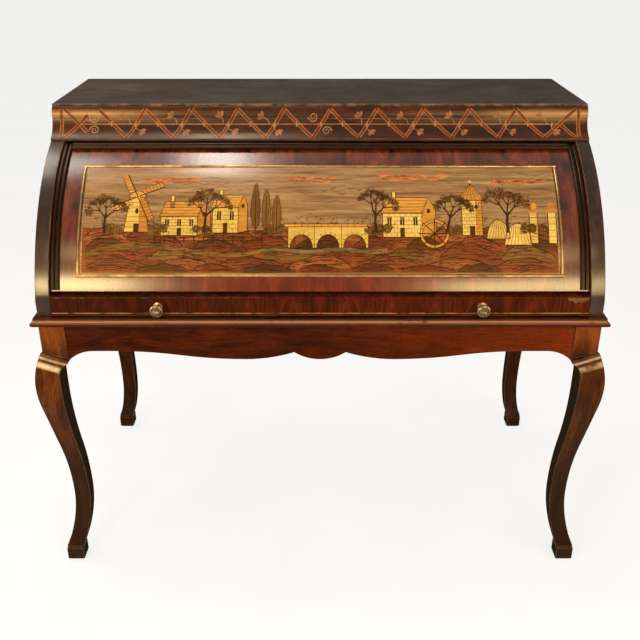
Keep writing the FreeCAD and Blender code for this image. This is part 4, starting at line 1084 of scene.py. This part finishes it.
def lay_head_bead():
    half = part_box("guide_bead_right")[0].x - 0.1 * MM
    lip = Vector((0, *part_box("frieze")[0].yz)) - Vector((0, *AXIS.yz))
    start = atan2(lip.z, -lip.y) - 0.05 * MM / FACE
    inner = FACE + 3 * MM
    pitch, base, crown = 10.5 * MM, 2 * MM, 4 * MM
    profile = [(0.0, 0.0)]
    for k in range(2):
        for i in range(13):
            turn = pi * i / 12
            profile.append((pitch * (k + (1 - cos(turn)) / 2), base + crown * sin(turn)))
    profile.append((2 * pitch, 0.0))
    mesh = bmesh.new()
    left, right = ([mesh.verts.new(on_cylinder(x, start - run / inner, inner + rise))
                    for run, rise in profile] for x in (-half, half))
    for i in range(len(profile)):
        mesh.faces.new((left[i - 1], left[i], right[i], right[i - 1]))
    for ring in (left, right):
        mesh.faces.new(ring)
    bmesh.ops.recalc_face_normals(mesh, faces=mesh.faces[:])
    for side in mesh.faces:
        side.smooth = True
    for edge in mesh.edges:
        edge.smooth = edge.calc_face_angle(0.0) < radians(34)
    add_piece("head_bead", mesh, LOOKS["guide"], "case")


# Rail of the slide: veneer lost along its upper edge

def lay_chips():
    low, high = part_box("slide_front")
    tall = (high.z - low.z) / MM
    bare = veneer("bare_ground", (84, 50, 33), (122, 82, 60))
    torn = veneer("torn_edge", (30, 13, 7), (50, 23, 12))

    def on_rail(x, y, lift):
        return Vector((x * MM, low.y - lift * MM, low.z + y * MM))

    chance = random.Random(5)
    spots = [(578, 48, 17)]
    rows = ((-590, 34, 14, 9, (8, 24), (2, 4.5)), (300, 48, 5, 12, (7, 15), (2, 3.5)))
    for start, step, count, drift, widths, drops in rows:
        for k in range(count):
            x = start + step * k + chance.uniform(-drift, drift)
            spots.append((x, chance.uniform(*widths), chance.uniform(*drops)))
    chips, edges = [], []
    for x, width, drop in spots:
        edge = []
        for i in range(11):
            bite = drop * (0.45 + 0.55 * sin(pi * i / 10)) * chance.uniform(0.7, 1.0)
            edge.append((x + width * (i / 10 - 0.5), tall - bite))
        chips.append([*edge, (x + width / 2, tall - 1.2), (x - width / 2, tall - 1.2)])
        edges.extend(ribbon(edge, 0.9))
    lay("rail_chips", "slide", chips, on_rail, 0.06, bare)
    lay("rail_chip_edges", "slide", edges, on_rail, 0.09, torn)


# Stage: pale floor, soft lamps and the photograph's viewpoint

def area_lamp(name, place, aim, size, power, colour):
    data = bpy.data.lights.new(name, "AREA")
    data.shape = "RECTANGLE"
    data.size, data.size_y = size
    data.energy = power
    data.color = colour
    lamp = add_object(name, data)
    lamp.location = place
    lamp.rotation_euler = (Vector(aim) - Vector(place)).to_track_quat("-Z", "Y").to_euler()


def pale_floor():
    """White to the camera and in reflections, duller in the light it throws back on the object."""
    shade = blank("pale_floor")
    rays = shade.node("LightPath").outputs
    seen = shade.math("MAXIMUM", rays["Is Camera Ray"], rays["Is Glossy Ray"])
    seen = shade.math("MAXIMUM", seen, rays["Is Transmission Ray"])
    speck = shade.noise(shade.place(), 3.0, 3.0)
    white = shade.ramp(speck, (0.3, grey(0.17)), (0.7, grey(0.20)))
    shade.finish(shade.mix(seen, grey(0.32), white), 0.9, 0.0)
    shade.surface.inputs["Emission Color"].default_value = (1.0, 1.0, 1.0, 1.0)
    shade.put(shade.surface.inputs["Emission Strength"], shade.math("MULTIPLY", seen, 0.79))
    return shade.owner


def make_stage():
    scene = bpy.context.scene
    scene.view_settings.view_transform = "Standard"
    sky = Shade(bpy.data.worlds.new("studio"))
    up = sky.parts(sky.node("TexCoord").outputs["Generated"])[2]
    dome = sky.ramp(up, (0.10, grey(0.78)), (0.22, tone(124, 114, 104)), (0.45, tone(134, 126, 118)),
                    (0.9, tone(206, 203, 197)))
    sky.put(sky.tree.nodes["Background"].inputs["Color"], dome)
    scene.world = sky.owner

    reach = 30
    data = bpy.data.meshes.new("floor")
    data.from_pydata([(x, y, 0) for x, y in block(-reach, -reach, reach, reach)], [], [(0, 1, 2, 3)])
    data.materials.append(pale_floor())
    floor = add_object("floor", data)

    gold = (1.0, 0.75, 0.36)
    soft = (1.0, 0.94, 0.85)
    for side, name, power in ((-1, "left", 46), (1, "right", 38)):
        area_lamp(f"lamp_side_{name}", (3.0 * side, -2.3, 1.3), (0, -0.1, 0.6), (1.6, 1.4), power, soft)
        area_lamp(f"lamp_high_{name}", (1.1 * side, -2.5, 2.67), (0.45 * side, 0, 1.08), (0.6, 0.5), 10, gold)
    area_lamp("lamp_low_left", (-1.5, -3.0, 1.78), (-0.55, -0.29, 0.75), (0.8, 0.4), 50, gold)
    area_lamp("lamp_low_right", (1.36, -3.0, 1.78), (0.5, -0.29, 0.75), (1.3, 0.4), 44, gold)
    area_lamp("lamp_over", (-0.48, 0.33, 3.0), (-0.48, -0.07, 1.0), (0.26, 0.86), 14, soft)
    area_lamp("lamp_corner", (-1.54, 0.28, 3.0), (-0.63, -0.12, 1.0), (0.7, 0.9), 20, soft)

    sensor, focal_share, pitch = 36, 838 / 640, 25.52
    lens = bpy.data.cameras.new("camera")
    lens.sensor_width = sensor
    lens.lens = sensor * focal_share
    camera = add_object("camera", lens)
    camera.location = (0, -2.0224, 1.493)
    camera.rotation_euler = (radians(90 - pitch), 0, 0)
    scene.camera = camera


dress_nodes()
lay_picture()
lay_frieze()
lay_tooling()
lay_chips()
lay_head_bead()
make_stage()
